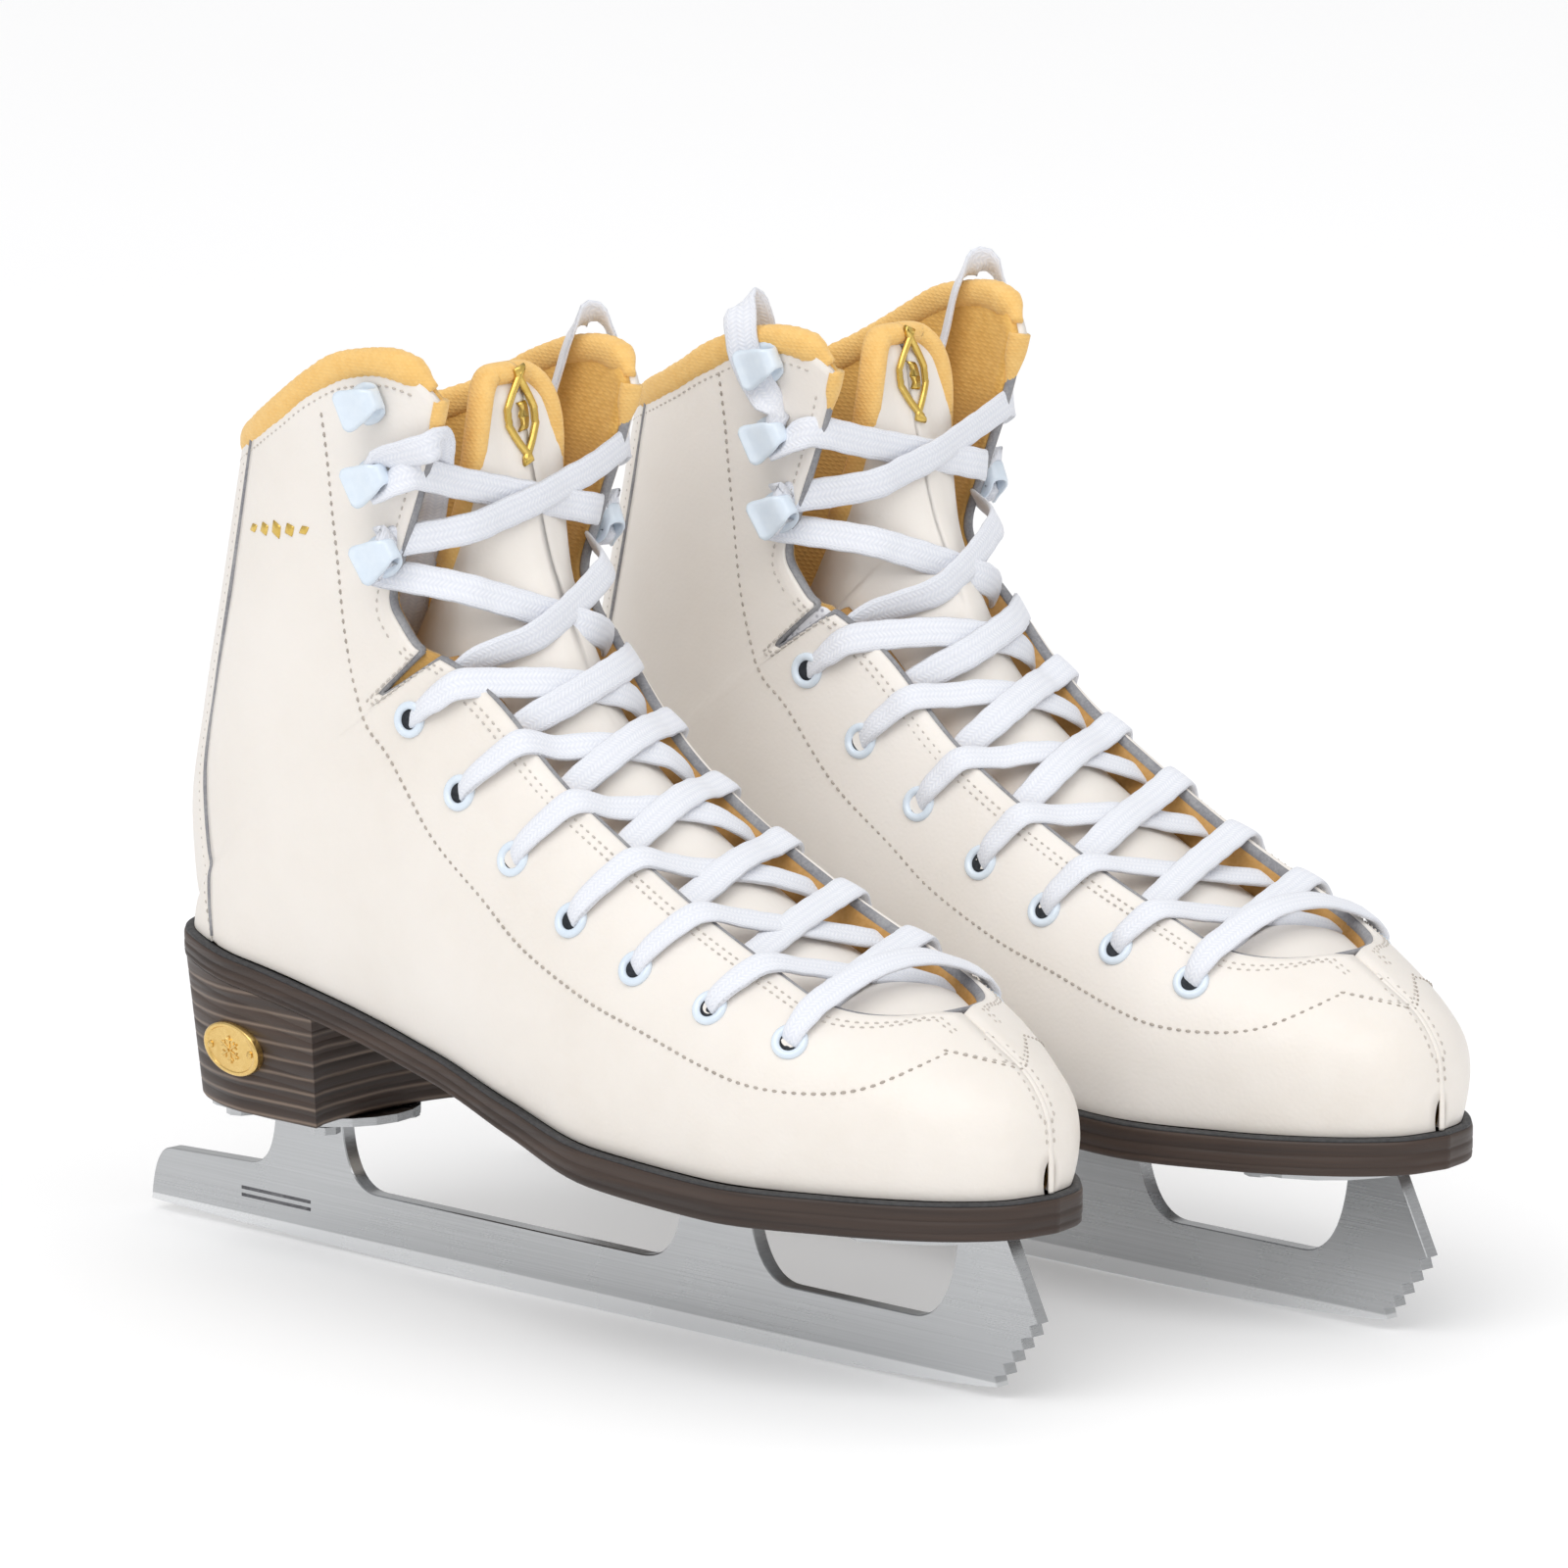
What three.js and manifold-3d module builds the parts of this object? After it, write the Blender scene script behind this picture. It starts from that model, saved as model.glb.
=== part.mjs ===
// A pair of laced leather figure skates on steel blades. Millimetres, +Z up, toes towards +X.
// A skate is modelled as a right one, with the back of the heel at x = 0, the outer side of the foot
// towards -Y and the ice at z = 0. The left one is its mirror image.
import * as THREE from "three";
import { mergeVertices } from "three/addons/utils/BufferGeometryUtils.js";
import Module from "manifold-3d";

const wasm = await Module();
wasm.setup();

// ---------------------------------------------------------------- driving dimensions
const soleLength = 266; // bottom edge of the upper, heel to toe
const ballWidth = 90; // upper, at its widest
const upperHeight = 176; // collar peak above the sole at the toe
const frontPostHeight = 37.4; // blade, ice to toe plate
const rearPostHeight = 33.4; // blade, ice to heel plate
const runnerHeight = 15.5; // blade, between the posts
const bladeThickness = 4;
const plateThickness = 2;
const soleThickness = 8.2; // at the ball of the foot
const waistThickness = 6.2; // under the arch and the heel
const soleMargin = 2.5; // how far the sole stands out past the upper
const leatherThickness = 2.2;
const liningThickness = 2;
const tongueThickness = 5;
const tongueHalfWidth = 35;
const tongueLean = 15; // how far its top stands back from the instep line
const tongueCrown = 11.5; // its middle under the facings' outer face
const tongueSide = 11; // the same beside the facings
const throatHalfGap = 24.5; // middle of the throat to a facing edge, over the instep
const shaftHalfGap = 33; // the same at the collar
const throatEnd = 238; // front end of the throat
const stayHalfDepth = 22; // back stay, forward from the back of the heel
const bindingHeight = 6.4;
const bindingWidth = 7.2;
const insoleThickness = 3;
const heelBreast = 60; // front face of the heel
const heelTaper = 0.86; // bottom of the heel against its top
const screwRadius = 1.9;
const screwHeadRadius = 3.6;
const screwHeadHeight = 1.8;
const screwDepth = 6; // into the sole or the heel
const laceWidth = 7.5;
const laceThickness = 1.2;
const laceLift = 2.8; // lace above the leather
const laceSag = 9.5; // how far it sinks from there over the middle of the throat
const hookWidth = 5;
const hookLength = 9;
const hookHeight = 5;
const hookSheet = 1;
const badgeLength = 21;
const badgeHeight = 13;
const badgeThickness = 1.2;
const badgePlace = 31; // its middle, from the back of the heel
const clearance = 0.3; // between neighbouring pieces
const pairSpacing = 110; // between the two blades
const pairStagger = 20; // the left skate stands this far ahead

// ---------------------------------------------------------------- the last
// The form the upper is pulled over, drafted at the sizes below and stretched to the driving ones.
const drafted = { soleLength: 266, ballWidth: 90, upperHeight: 176 };
const stretch = {
  x: soleLength / drafted.soleLength,
  y: ballWidth / drafted.ballWidth,
  z: upperHeight / drafted.upperHeight,
};
// Each station is a slice of the upper: where it starts on the sole or the back seam (x, z), its half
// widths there (outer, inner), where it ends on the instep line (x, z), its widest half widths (outer,
// inner), how far up it is widest, and how square it is above that (2 is an ellipse). Heights are above
// the sole's edge at the toe.
const lastStations = [
  [266, 0.5, 0.5, 0.5, 266.5, 7.5, 1, 1, 0.45, 2],
  [263.5, 0.3, 9.5, 9, 265.5, 16.5, 10.5, 10, 0.42, 2],
  [257.5, 0.1, 17, 16, 260.5, 25, 18.5, 17.5, 0.4, 2],
  [247, -0.1, 24.5, 23.5, 250, 32, 26.5, 25, 0.38, 2],
  [230, -0.3, 32, 31.5, 234, 40.5, 34.5, 33.5, 0.35, 2.1],
  [200, -0.1, 41, 39.5, 209, 50.5, 43.5, 41, 0.32, 2.2],
  [165, 1.5, 41, 37.5, 184, 62.5, 45, 40.5, 0.3, 2.1],
  [132, 6.5, 35.5, 31, 161, 77, 43, 38, 0.32, 2],
  [100, 13.5, 30.5, 27.5, 143, 90, 40, 36.5, 0.36, 2],
  [66, 20.5, 29, 27.5, 132, 102, 37.5, 35.5, 0.42, 2.1],
  [36, 25.5, 29, 28.5, 127, 111.5, 36, 35, 0.44, 2.4],
  [14, 28, 23, 23, 124.5, 118.5, 35, 34.5, 0.46, 2.8],
  [3, 28.5, 12.5, 12.5, 123.5, 123.5, 34.5, 34.5, 0.47, 3.2],
  [0, 29.5, 0.5, 0.5, 123, 127.5, 34, 34, 0.48, 3.5],
  [-3, 49.5, 0.5, 0.5, 122.5, 136.5, 33.5, 33.5, 0.5, 4],
  [2, 75.5, 0.5, 0.5, 122.5, 147.5, 34, 34, 0.5, 4.4],
  [11, 109.5, 0.5, 0.5, 123, 163.5, 35.5, 35.5, 0.5, 4.6],
  [25, 161.5, 0.5, 0.5, 126, 197.5, 38.5, 38.5, 0.5, 4.8],
];
const heelStation = 13; // where the sole's edge meets the back seam
const topline = [
  [12, 148.5], [25, 149.5], [40, 154.5], [55, 161.8], [68, 169.3],
  [80, 174.4], [92, 176], [99, 174.8], [105, 170], [109, 163], [112, 154],
];
const innerDrop = 4; // the inner peak stands lower than the outer one
const eyelets = [
  [0.205, 0.72], [0.272, 0.703], [0.338, 0.678], [0.408, 0.66],
  [0.482, 0.672], [0.557, 0.69], [0.646, 0.715],
];
const hooks = [[0.816, 0.745], [0.88, 0.715], [0.937, 0.685]];
const notch = { at: 0.705, halfLength: 0.024, depth: 0.08 }; // flex notch in the facings

// ---------------------------------------------------------------- curves of the last
const mix = (a, b, s) => a + (b - a) * s;
const clamp01 = (s) => Math.min(1, Math.max(0, s));
const smooth = (a, b, value) => {
  const s = clamp01((value - a) / (b - a));
  return s * s * (3 - 2 * s);
};

// A smooth curve through the values that never overshoots them.
function curveThrough(at, values) {
  const last = at.length - 1;
  const step = at.slice(1).map((a, i) => a - at[i]);
  const rise = step.map((h, i) => (values[i + 1] - values[i]) / h);
  const slope = values.map((_, i) => {
    if (i === 0) return rise[0];
    if (i === last) return rise[last - 1];
    if (rise[i - 1] * rise[i] <= 0) return 0;
    const before = 2 * step[i] + step[i - 1];
    const after = step[i] + 2 * step[i - 1];
    return (before + after) / (before / rise[i - 1] + after / rise[i]);
  });
  return (x) => {
    let i = 0;
    while (i < last - 1 && x >= at[i + 1]) i++;
    const h = step[i];
    const s = (x - at[i]) / h;
    return (
      values[i] * (1 + 2 * s) * (1 - s) ** 2 + h * slope[i] * s * (1 - s) ** 2 +
      values[i + 1] * s * s * (3 - 2 * s) + h * slope[i + 1] * s * s * (s - 1)
    );
  };
}

// Stations are spaced by how far their ends and widths move.
const knots = [0];
for (let i = 1; i < lastStations.length; i++) {
  const [a, b] = [lastStations[i - 1], lastStations[i]];
  const low = Math.hypot(b[0] - a[0], b[1] - a[1]);
  const high = Math.hypot(b[4] - a[4], b[5] - a[5]);
  knots.push(knots[i - 1] + (low + high + Math.abs(b[2] - a[2])) / 2);
}
const totalKnot = knots[knots.length - 1];
knots.forEach((k, i) => (knots[i] = k / totalKnot));
const tHeel = knots[heelStation];
const column = lastStations[0].map((_, c) =>
  curveThrough(knots, lastStations.map((station) => station[c])));
const toplineAt = curveThrough(topline.map((p) => p[0]), topline.map((p) => p[1]));

// Heights of the stack under the foot.
const solePlateTop = frontPostHeight + clearance + plateThickness;
const featherHeight = solePlateTop + clearance + soleThickness + clearance * 2;
const heelSeat = rearPostHeight + clearance + plateThickness + clearance;

function stationAt(t, side) {
  return {
    low: [column[0](t) * stretch.x, featherHeight + column[1](t) * stretch.z],
    high: [column[4](t) * stretch.x, featherHeight + column[5](t) * stretch.z],
    foot: column[side > 0 ? 2 : 3](t) * stretch.y,
    widest: Math.max(column[side > 0 ? 6 : 7](t), column[side > 0 ? 2 : 3](t) * 1.0001) * stretch.y,
    share: column[8](t),
    square: column[9](t),
  };
}

// The upper's outer surface. t runs from the toe along the sole and up the back seam; v runs from there
// to the instep line; side is 1 on the outer half and -1 on the inner half.
function lastPoint(t, v, side) {
  const s = stationAt(t, side);
  const k = 1 / Math.sqrt(1 - Math.min(0.9999, s.foot / s.widest) ** 2);
  const q = v < s.share ? (s.share - v) / (s.share * k) : (v - s.share) / (1 - s.share);
  const y = s.widest * Math.sqrt(Math.max(0, 1 - q ** (v < s.share ? 2 : s.square)));
  return new THREE.Vector3(mix(s.low[0], s.high[0], v), -side * y, mix(s.low[1], s.high[1], v));
}

function outward(t, v, side) {
  const [dt, dv] = [0.002, 0.004];
  const along = lastPoint(Math.min(1, t + dt), v, side).sub(lastPoint(Math.max(0, t - dt), v, side));
  const across = lastPoint(t, Math.min(1, v + dv), side).sub(lastPoint(t, Math.max(0, v - dv), side));
  const normal = along.cross(across).normalize();
  const middle = lastPoint(t, 0.5, side).setY(0);
  return normal.dot(lastPoint(t, v, side).sub(middle)) < 0 ? normal.negate() : normal;
}

// A point `depth` under the outer surface. seam says how it ends at the middle plane: a positive one
// keeps that far from it, and a negative one reaches that far past it.
function skinPoint(t, v, side, depth, seam) {
  const p = lastPoint(t, v, side).addScaledVector(outward(t, v, side), -depth);
  const y = -side * p.y;
  p.y = -side * (seam < 0 ? (y < 1.3 ? seam : y) : Math.max(seam, y));
  p.z = Math.max(p.z, stationAt(Math.min(t, tHeel), side).low[1]);
  return p;
}

// v of the surface point a distance y from the middle plane, on the instep.
function crownV(t, y, side) {
  const s = stationAt(t, side);
  return mix(s.share, 1, Math.max(0, 1 - (y / s.widest) ** 2) ** (1 / s.square));
}

function facingGap(t) {
  const x = stationAt(t, 1).high[0];
  const end = throatEnd * stretch.x;
  const round = throatHalfGap;
  if (x >= end) return 0;
  const gap = mix(throatHalfGap, shaftHalfGap, smooth(0.55, 0.8, t));
  return gap * Math.sqrt(1 - clamp01((x - end + round) / round) ** 2);
}

function facingV(t, side) {
  const dip = notch.depth * clamp01(1 - Math.abs(t - notch.at) / notch.halfLength);
  return crownV(t, facingGap(t), side) - dip;
}

function stayV(t) {
  const s = stationAt(t, 1);
  const back = t < tHeel ? 0 : s.low[0];
  return (back + stayHalfDepth - s.low[0]) / (s.high[0] - s.low[0]);
}

// t where the surface at v comes up to the topline, less `below`.
function topT(v, side, below) {
  let [a, b] = [0.6, 1];
  for (let i = 0; i < 24; i++) {
    const t = (a + b) / 2;
    const p = lastPoint(t, v, side);
    const x = Math.min(112, Math.max(12, p.x / stretch.x));
    const drop = side < 0 ? innerDrop * smooth(25, 80, x) : 0;
    const top = featherHeight + (toplineAt(x) - drop) * stretch.z - below;
    if (p.z > top) b = t;
    else a = t;
  }
  return a;
}

// ---------------------------------------------------------------- solids
function geometryOf(points, triangles) {
  const geometry = new THREE.BufferGeometry().setFromPoints(points);
  geometry.setIndex(triangles);
  let volume = 0;
  for (let i = 0; i < triangles.length; i += 3) {
    const [a, b, c] = [0, 1, 2].map((k) => points[triangles[i + k]]);
    volume += a.dot(b.clone().cross(c));
  }
  if (volume < 0)
    for (let i = 0; i < triangles.length; i += 3)
      [triangles[i + 1], triangles[i + 2]] = [triangles[i + 2], triangles[i + 1]];
  geometry.setIndex(triangles);
  return geometry;
}

// A closed solid between two sheets of rows by columns points; pointAt takes a row, a column and a sheet.
function shell(rows, columns, pointAt) {
  const points = [];
  const triangles = [];
  for (let sheet = 0; sheet < 2; sheet++)
    for (let i = 0; i < rows; i++)
      for (let j = 0; j < columns; j++) points.push(pointAt(i, j, sheet));
  const at = (i, j, sheet) => (sheet * rows + i) * columns + j;
  const quad = (a, b, c, d) => triangles.push(a, b, c, a, c, d);
  for (let i = 0; i < rows - 1; i++)
    for (let j = 0; j < columns - 1; j++) {
      quad(at(i, j, 0), at(i + 1, j, 0), at(i + 1, j + 1, 0), at(i, j + 1, 0));
      triangles.push(at(i, j, 1), at(i + 1, j + 1, 1), at(i + 1, j, 1));
      triangles.push(at(i, j, 1), at(i, j + 1, 1), at(i + 1, j + 1, 1));
    }
  for (let i = 0; i < rows - 1; i++) {
    quad(at(i, 0, 0), at(i, 0, 1), at(i + 1, 0, 1), at(i + 1, 0, 0));
    const j = columns - 1;
    quad(at(i, j, 0), at(i + 1, j, 0), at(i + 1, j, 1), at(i, j, 1));
  }
  for (let j = 0; j < columns - 1; j++) {
    quad(at(0, j, 0), at(0, j + 1, 0), at(0, j + 1, 1), at(0, j, 1));
    const i = rows - 1;
    quad(at(i, j, 0), at(i, j, 1), at(i, j + 1, 1), at(i, j + 1, 0));
  }
  return geometryOf(points, triangles);
}

function solidOf(geometry) {
  const bare = geometry.clone();
  bare.deleteAttribute("normal");
  bare.deleteAttribute("uv");
  const merged = mergeVertices(bare, 1e-3);
  return new wasm.Manifold(new wasm.Mesh({
    numProp: 3,
    vertProperties: new Float32Array(merged.attributes.position.array),
    triVerts: new Uint32Array(merged.index.array),
  }));
}

function geometryFrom(solid) {
  const made = solid.getMesh();
  const geometry = new THREE.BufferGeometry();
  geometry.setAttribute("position", new THREE.BufferAttribute(new Float32Array(made.vertProperties), 3));
  geometry.setIndex(new THREE.BufferAttribute(new Uint32Array(made.triVerts), 1));
  return geometry;
}

const joined = (pieces) =>
  geometryFrom(pieces.map(solidOf).reduce((whole, piece) => whole.add(piece)));

const cut = (geometry, cutters) =>
  geometryFrom(cutters.map(solidOf).reduce((whole, cutter) => whole.subtract(cutter), solidOf(geometry)));

// ---------------------------------------------------------------- the upper
const trimFrom = 0.6; // rows past here are squeezed under the topline
const halved = [4, 6, 8, 11, 12, 15, 16]; // stations followed by a row halfway to the next
const upperRows = [
  ...knots,
  ...halved.map((i) => (knots[i] + knots[i + 1]) / 2),
  notch.at - notch.halfLength, notch.at, notch.at + notch.halfLength,
].sort((a, b) => a - b).filter((t, i, all) => i === 0 || t - all[i - 1] > 0.008);
const upperColumns = 7;

function upperV(t, j, side, overStay) {
  const stay = stayV(t);
  const first = Math.max(stay, 0.05);
  if (j < 2) {
    if (overStay || stay <= 0) return first * [0, 0.3][j];
    return first - 0.006 + 0.003 * j;
  }
  const s = 1 - (1 - (j - 2) / (upperColumns - 3)) ** 1.5;
  return mix(first, facingV(t, side), s);
}

const liningDepth = leatherThickness + clearance;
const bindingGap = 3.2; // the leather stops this far under the binding
const underTop = bindingHeight + bindingGap;

// The row's place once it is squeezed under the topline, where vAt gives the column's v for a t.
function underTopline(row, vAt, side) {
  const share = (row - trimFrom) / (1 - trimFrom);
  let t = row;
  for (let pass = 0; pass < 3 && share > 0; pass++) t = mix(trimFrom, topT(vAt(t), side, underTop), share);
  return [t, vAt(t)];
}

function upperPoint(i, j, side, overStay, depth, seam) {
  const [t, v] = underTopline(upperRows[i], (t) => upperV(t, j, side, overStay), side);
  return skinPoint(t, v, side, depth, seam);
}

function quarter(side) {
  return shell(upperRows.length, upperColumns, (i, j, sheet) =>
    upperPoint(i, j, side, false, sheet * leatherThickness, clearance / 2));
}

function lining() {
  const half = (side) => shell(upperRows.length, upperColumns, (i, j, sheet) =>
    upperPoint(i, j, side, true, liningDepth + sheet * liningThickness, -clearance));
  return joined([half(1), half(-1)]);
}

function backStay() {
  const rows = upperRows.filter((t) => stayV(t) > 0.05);
  const half = (side) => shell(rows.length, 3, (i, j, sheet) => {
    const vAt = (t) => {
      const s = stationAt(t, side);
      const gap = (2 * clearance) / (s.high[0] - s.low[0]) + 0.006;
      return (Math.max(stayV(t), 0.05) - gap) * [0, 0.3, 1][j];
    };
    const [t, v] = underTopline(rows[i], vAt, side);
    return skinPoint(t, v, side, sheet * leatherThickness, -clearance);
  });
  return joined([half(1), half(-1)]);
}

// A padded roll along the topline, from one facing round the back to the other.
function collarBinding() {
  const [steps, ring, bindingReach] = [11, 6, 0.96];
  const route = [];
  for (let i = -steps; i <= steps; i++) {
    const side = i < 0 ? 1 : -1;
    const v = (bindingReach * facingV(0.93, side) * Math.abs(i)) / steps;
    const t = topT(v, side, bindingHeight / 2);
    const p = skinPoint(t, v, side, (liningDepth + liningThickness) / 2, 0);
    route.push({ p: i === 0 ? p.setY(0) : p, out: outward(t, v, side).setZ(0).normalize() });
  }
  const points = [];
  const triangles = [];
  route.forEach(({ p, out }, i) => {
    const next = route[Math.min(route.length - 1, i + 1)].p;
    const along = next.clone().sub(route[Math.max(0, i - 1)].p).normalize();
    const up = out.clone().cross(along).normalize();
    if (up.z < 0) up.negate();
    const across = up.clone().cross(along).normalize();
    for (let k = 0; k < ring; k++) {
      const angle = (2 * Math.PI * (k + 0.5)) / ring;
      points.push(p.clone()
        .addScaledVector(up, (bindingHeight / 2) * Math.sin(angle))
        .addScaledVector(across, (bindingWidth / 2) * Math.cos(angle)));
    }
  });
  for (let i = 0; i < route.length - 1; i++)
    for (let k = 0; k < ring; k++) {
      const [a, b] = [i * ring + k, i * ring + ((k + 1) % ring)];
      triangles.push(a, b, b + ring, a, b + ring, a + ring);
    }
  const last = (route.length - 1) * ring;
  for (let k = 1; k < ring - 1; k++) {
    triangles.push(0, k + 1, k);
    triangles.push(last, last + k, last + k + 1);
  }
  return geometryOf(points, triangles);
}

// The tongue is crowned in the throat, dives under the facings' edges, and leans back into the shaft
// towards its top.
function tongue() {
  const shares = [-1, -0.78, -0.6, -0.25, 0.25, 0.6, 0.78, 1];
  const rows = 13;
  const [start, finish] = [0.135, 0.892];
  const deep = liningDepth + liningThickness + 3 * clearance;
  return shell(rows, shares.length, (i, j, sheet) => {
    const t = mix(start, finish, i / (rows - 1));
    const side = shares[j] < 0 ? 1 : -1;
    const narrow = mix(0.5, 1, smooth(start, 0.3, t)) * mix(1, 0.8, smooth(0.7, 0.95, t));
    const y = Math.abs(shares[j]) * tongueHalfWidth * narrow;
    const edge = facingGap(t);
    const open = smooth(0.19, 0.25, t);
    const beside = smooth(edge * 0.5, edge * 0.9, y);
    const lean = tongueLean * smooth(0.6, 0.95, t) * mix(1, 0.5, beside);
    const depth = mix(deep, mix(tongueCrown, tongueSide, beside), open) + lean + sheet * tongueThickness;
    return skinPoint(t, crownV(t, y, side), side, depth, 0);
  });
}

function surfaceFrame(t, v, side) {
  const normal = outward(t, v, side);
  const back = lastPoint(t, v - 0.02, side).sub(lastPoint(t, v + 0.02, side));
  back.addScaledVector(normal, -back.dot(normal)).normalize();
  return { at: lastPoint(t, v, side), normal, back };
}

// No hook comes up under the binding, which is lowest on the inner side.
const hookDrop = bindingHeight + hookWidth / 4;
const placedHooks = hooks.map(([t, v]) => [Math.min(t, topT(v, -1, hookDrop)), v]);

// The lace as one flat ribbon. One half runs up from the bottom bar in a zigzag from side to side, and
// the other half mirrors it a layer higher, so that they cross over the middle of the throat.
const laceAnchors = [...eyelets, ...placedHooks].map(([t, v], i) => {
  const inset = i < eyelets.length ? 3 : hookWidth / 2 + 2;
  return { t, reach: (side) => Math.abs(lastPoint(t, v, side).y) - inset };
});

function laceRoute() {
  const stops = [];
  const half = (firstSide, layer) => laceAnchors.map(({ t, reach }, i) => {
    const side = i % 2 ? -firstSide : firstSide;
    return { t, y: -side * reach(side), layer };
  });
  stops.push(...half(1, 0).reverse(), ...half(-1, 1));
  const steps = 6;
  const route = [stops[0]];
  for (let i = 1; i < stops.length; i++)
    for (let k = 1; k <= steps; k++) {
      const [from, to, s] = [stops[i - 1], stops[i], k / steps];
      route.push({ t: mix(from.t, to.t, s), y: mix(from.y, to.y, s), layer: mix(from.layer, to.layer, s) });
    }
  return route;
}

function lace() {
  const route = laceRoute();
  const pointOn = ({ t, y, layer }, height) => {
    const side = y < 0 ? 1 : -1;
    const sag = laceSag * smooth(0.85, 0.2, Math.abs(y) / Math.max(facingGap(t), throatHalfGap * stretch.y));
    const lift = laceLift - sag + layer * (laceThickness + 2 * clearance) + height;
    return skinPoint(t, crownV(t, Math.abs(y), side), side, -lift, 0);
  };
  return shell(route.length, 2, (i, j, sheet) => {
    const here = route[i];
    const next = pointOn(route[Math.min(route.length - 1, i + 1)], 0);
    const along = next.sub(pointOn(route[Math.max(0, i - 1)], 0));
    const up = pointOn(here, 1).sub(pointOn(here, 0));
    const sideways = along.cross(up).normalize();
    return pointOn(here, sheet * laceThickness).addScaledVector(sideways, (j - 0.5) * laceWidth);
  });
}

// A speed hook: base on the leather, stem on the throat's side, mouth away from the throat.
function hook([t, v], side) {
  const profile = new THREE.Shape([
    [-1, 0], [hookLength - 1, 0], [hookLength - 1, hookSheet], [hookSheet - 1, hookSheet],
    [hookSheet - 1, hookHeight - hookSheet], [hookLength - 2, hookHeight - hookSheet],
    [hookLength - 1, hookHeight], [-1, hookHeight],
  ].map(([x, y]) => new THREE.Vector2(x, y)));
  const geometry = new THREE.ExtrudeGeometry(profile, { depth: hookWidth, bevelEnabled: false });
  const { at, normal, back } = surfaceFrame(t, v, side);
  const along = back.clone().cross(normal);
  const place = new THREE.Matrix4().makeBasis(back, normal, along);
  place.setPosition(at.addScaledVector(normal, 3 * clearance).addScaledVector(along, -hookWidth / 2));
  return geometry.applyMatrix4(place);
}

// ---------------------------------------------------------------- sole, heel and insole
const soleRows = upperRows.filter((t) => t <= tHeel + 1e-6);

function soleEdge(t, side) {
  const s = stationAt(t, side);
  const middle = soleLength / 2;
  return {
    x: middle + (s.low[0] - middle) * (1 + (2 * soleMargin) / soleLength),
    half: s.foot * (1 + soleMargin / 33),
    top: s.low[1] - 2 * clearance,
    under: s.low[1] - 2 * clearance - mix(waistThickness, soleThickness, smooth(110, 175, s.low[0] / stretch.x)),
  };
}

const acrossShares = [-1, -0.6, 0, 0.6, 1];

function screwHoles(places, bottom) {
  return places.map(([x, y]) => {
    const hole = new THREE.CylinderGeometry(screwRadius + clearance, screwRadius + clearance,
      2 * (screwDepth + 1), 8);
    return hole.rotateX(Math.PI / 2).translate(x, y, bottom);
  });
}

function outsole() {
  const body = shell(soleRows.length, acrossShares.length, (i, j, sheet) => {
    const share = acrossShares[j];
    const edge = soleEdge(soleRows[i], share < 0 ? 1 : -1);
    return new THREE.Vector3(edge.x, share * edge.half, sheet ? edge.under : edge.top);
  });
  return cut(body, screwHoles(toeScrews, solePlateTop + clearance));
}

function tAtX(x) {
  let [a, b] = [0, tHeel];
  for (let i = 0; i < 30; i++) {
    const t = (a + b) / 2;
    if (soleEdge(t, 1).x > x) a = t;
    else b = t;
  }
  return a;
}

// A point of the heel's side: share runs across it, and level from its top (0) to its bottom (1).
function heelPoint(t, share, level) {
  const edge = soleEdge(t, share < 0 ? 1 : -1);
  const taper = mix(1, heelTaper, level);
  const centre = (heelBreast / 2) * stretch.x;
  return new THREE.Vector3(
    mix(centre, edge.x, mix(1, taper, 0.7)),
    share * (edge.half - 2 * clearance) * taper,
    mix(edge.under - clearance, heelSeat, level),
  );
}

function heelBlock() {
  const breast = heelBreast * stretch.x;
  const rows = [tAtX(breast), ...soleRows.filter((t) => soleEdge(t, 1).x < breast - 4)];
  const body = shell(rows.length, acrossShares.length, (i, j, sheet) =>
    heelPoint(rows[i], acrossShares[j], sheet));
  return cut(body, screwHoles(heelScrews, heelSeat));
}

function heelBadge() {
  const [t, level] = [tAtX(badgePlace * stretch.x), 0.5];
  const along = heelPoint(t + 0.01, -1, level).sub(heelPoint(t - 0.01, -1, level));
  const down = heelPoint(t, -1, 1).sub(heelPoint(t, -1, 0));
  const out = along.cross(down).normalize();
  if (out.y > 0) out.negate();
  const up = down.normalize().negate();
  const badge = new THREE.CylinderGeometry(0.5, 0.5, badgeThickness, 20).scale(badgeLength, 1, badgeHeight);
  const place = new THREE.Matrix4().makeBasis(out.clone().cross(up), out, up);
  place.setPosition(heelPoint(t, -1, level).addScaledVector(out, badgeThickness / 2 + clearance));
  return badge.applyMatrix4(place);
}

function insole() {
  const wall = liningDepth + liningThickness + 3 * clearance;
  const rows = soleRows.filter((t) => stationAt(t, -1).foot > wall + 3);
  return shell(rows.length, acrossShares.length, (i, j, sheet) => {
    const share = acrossShares[j];
    const s = stationAt(rows[i], share < 0 ? 1 : -1);
    const x = mix(s.low[0], soleLength / 2, (2 * wall) / soleLength);
    return new THREE.Vector3(x, share * (s.foot - wall), s.low[1] + sheet * insoleThickness);
  });
}

// ---------------------------------------------------------------- blade, plates and screws
const posts = { rear: [17, 40], front: [153, 174], toe: [240, 255] }; // drafted places along the blade

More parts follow.
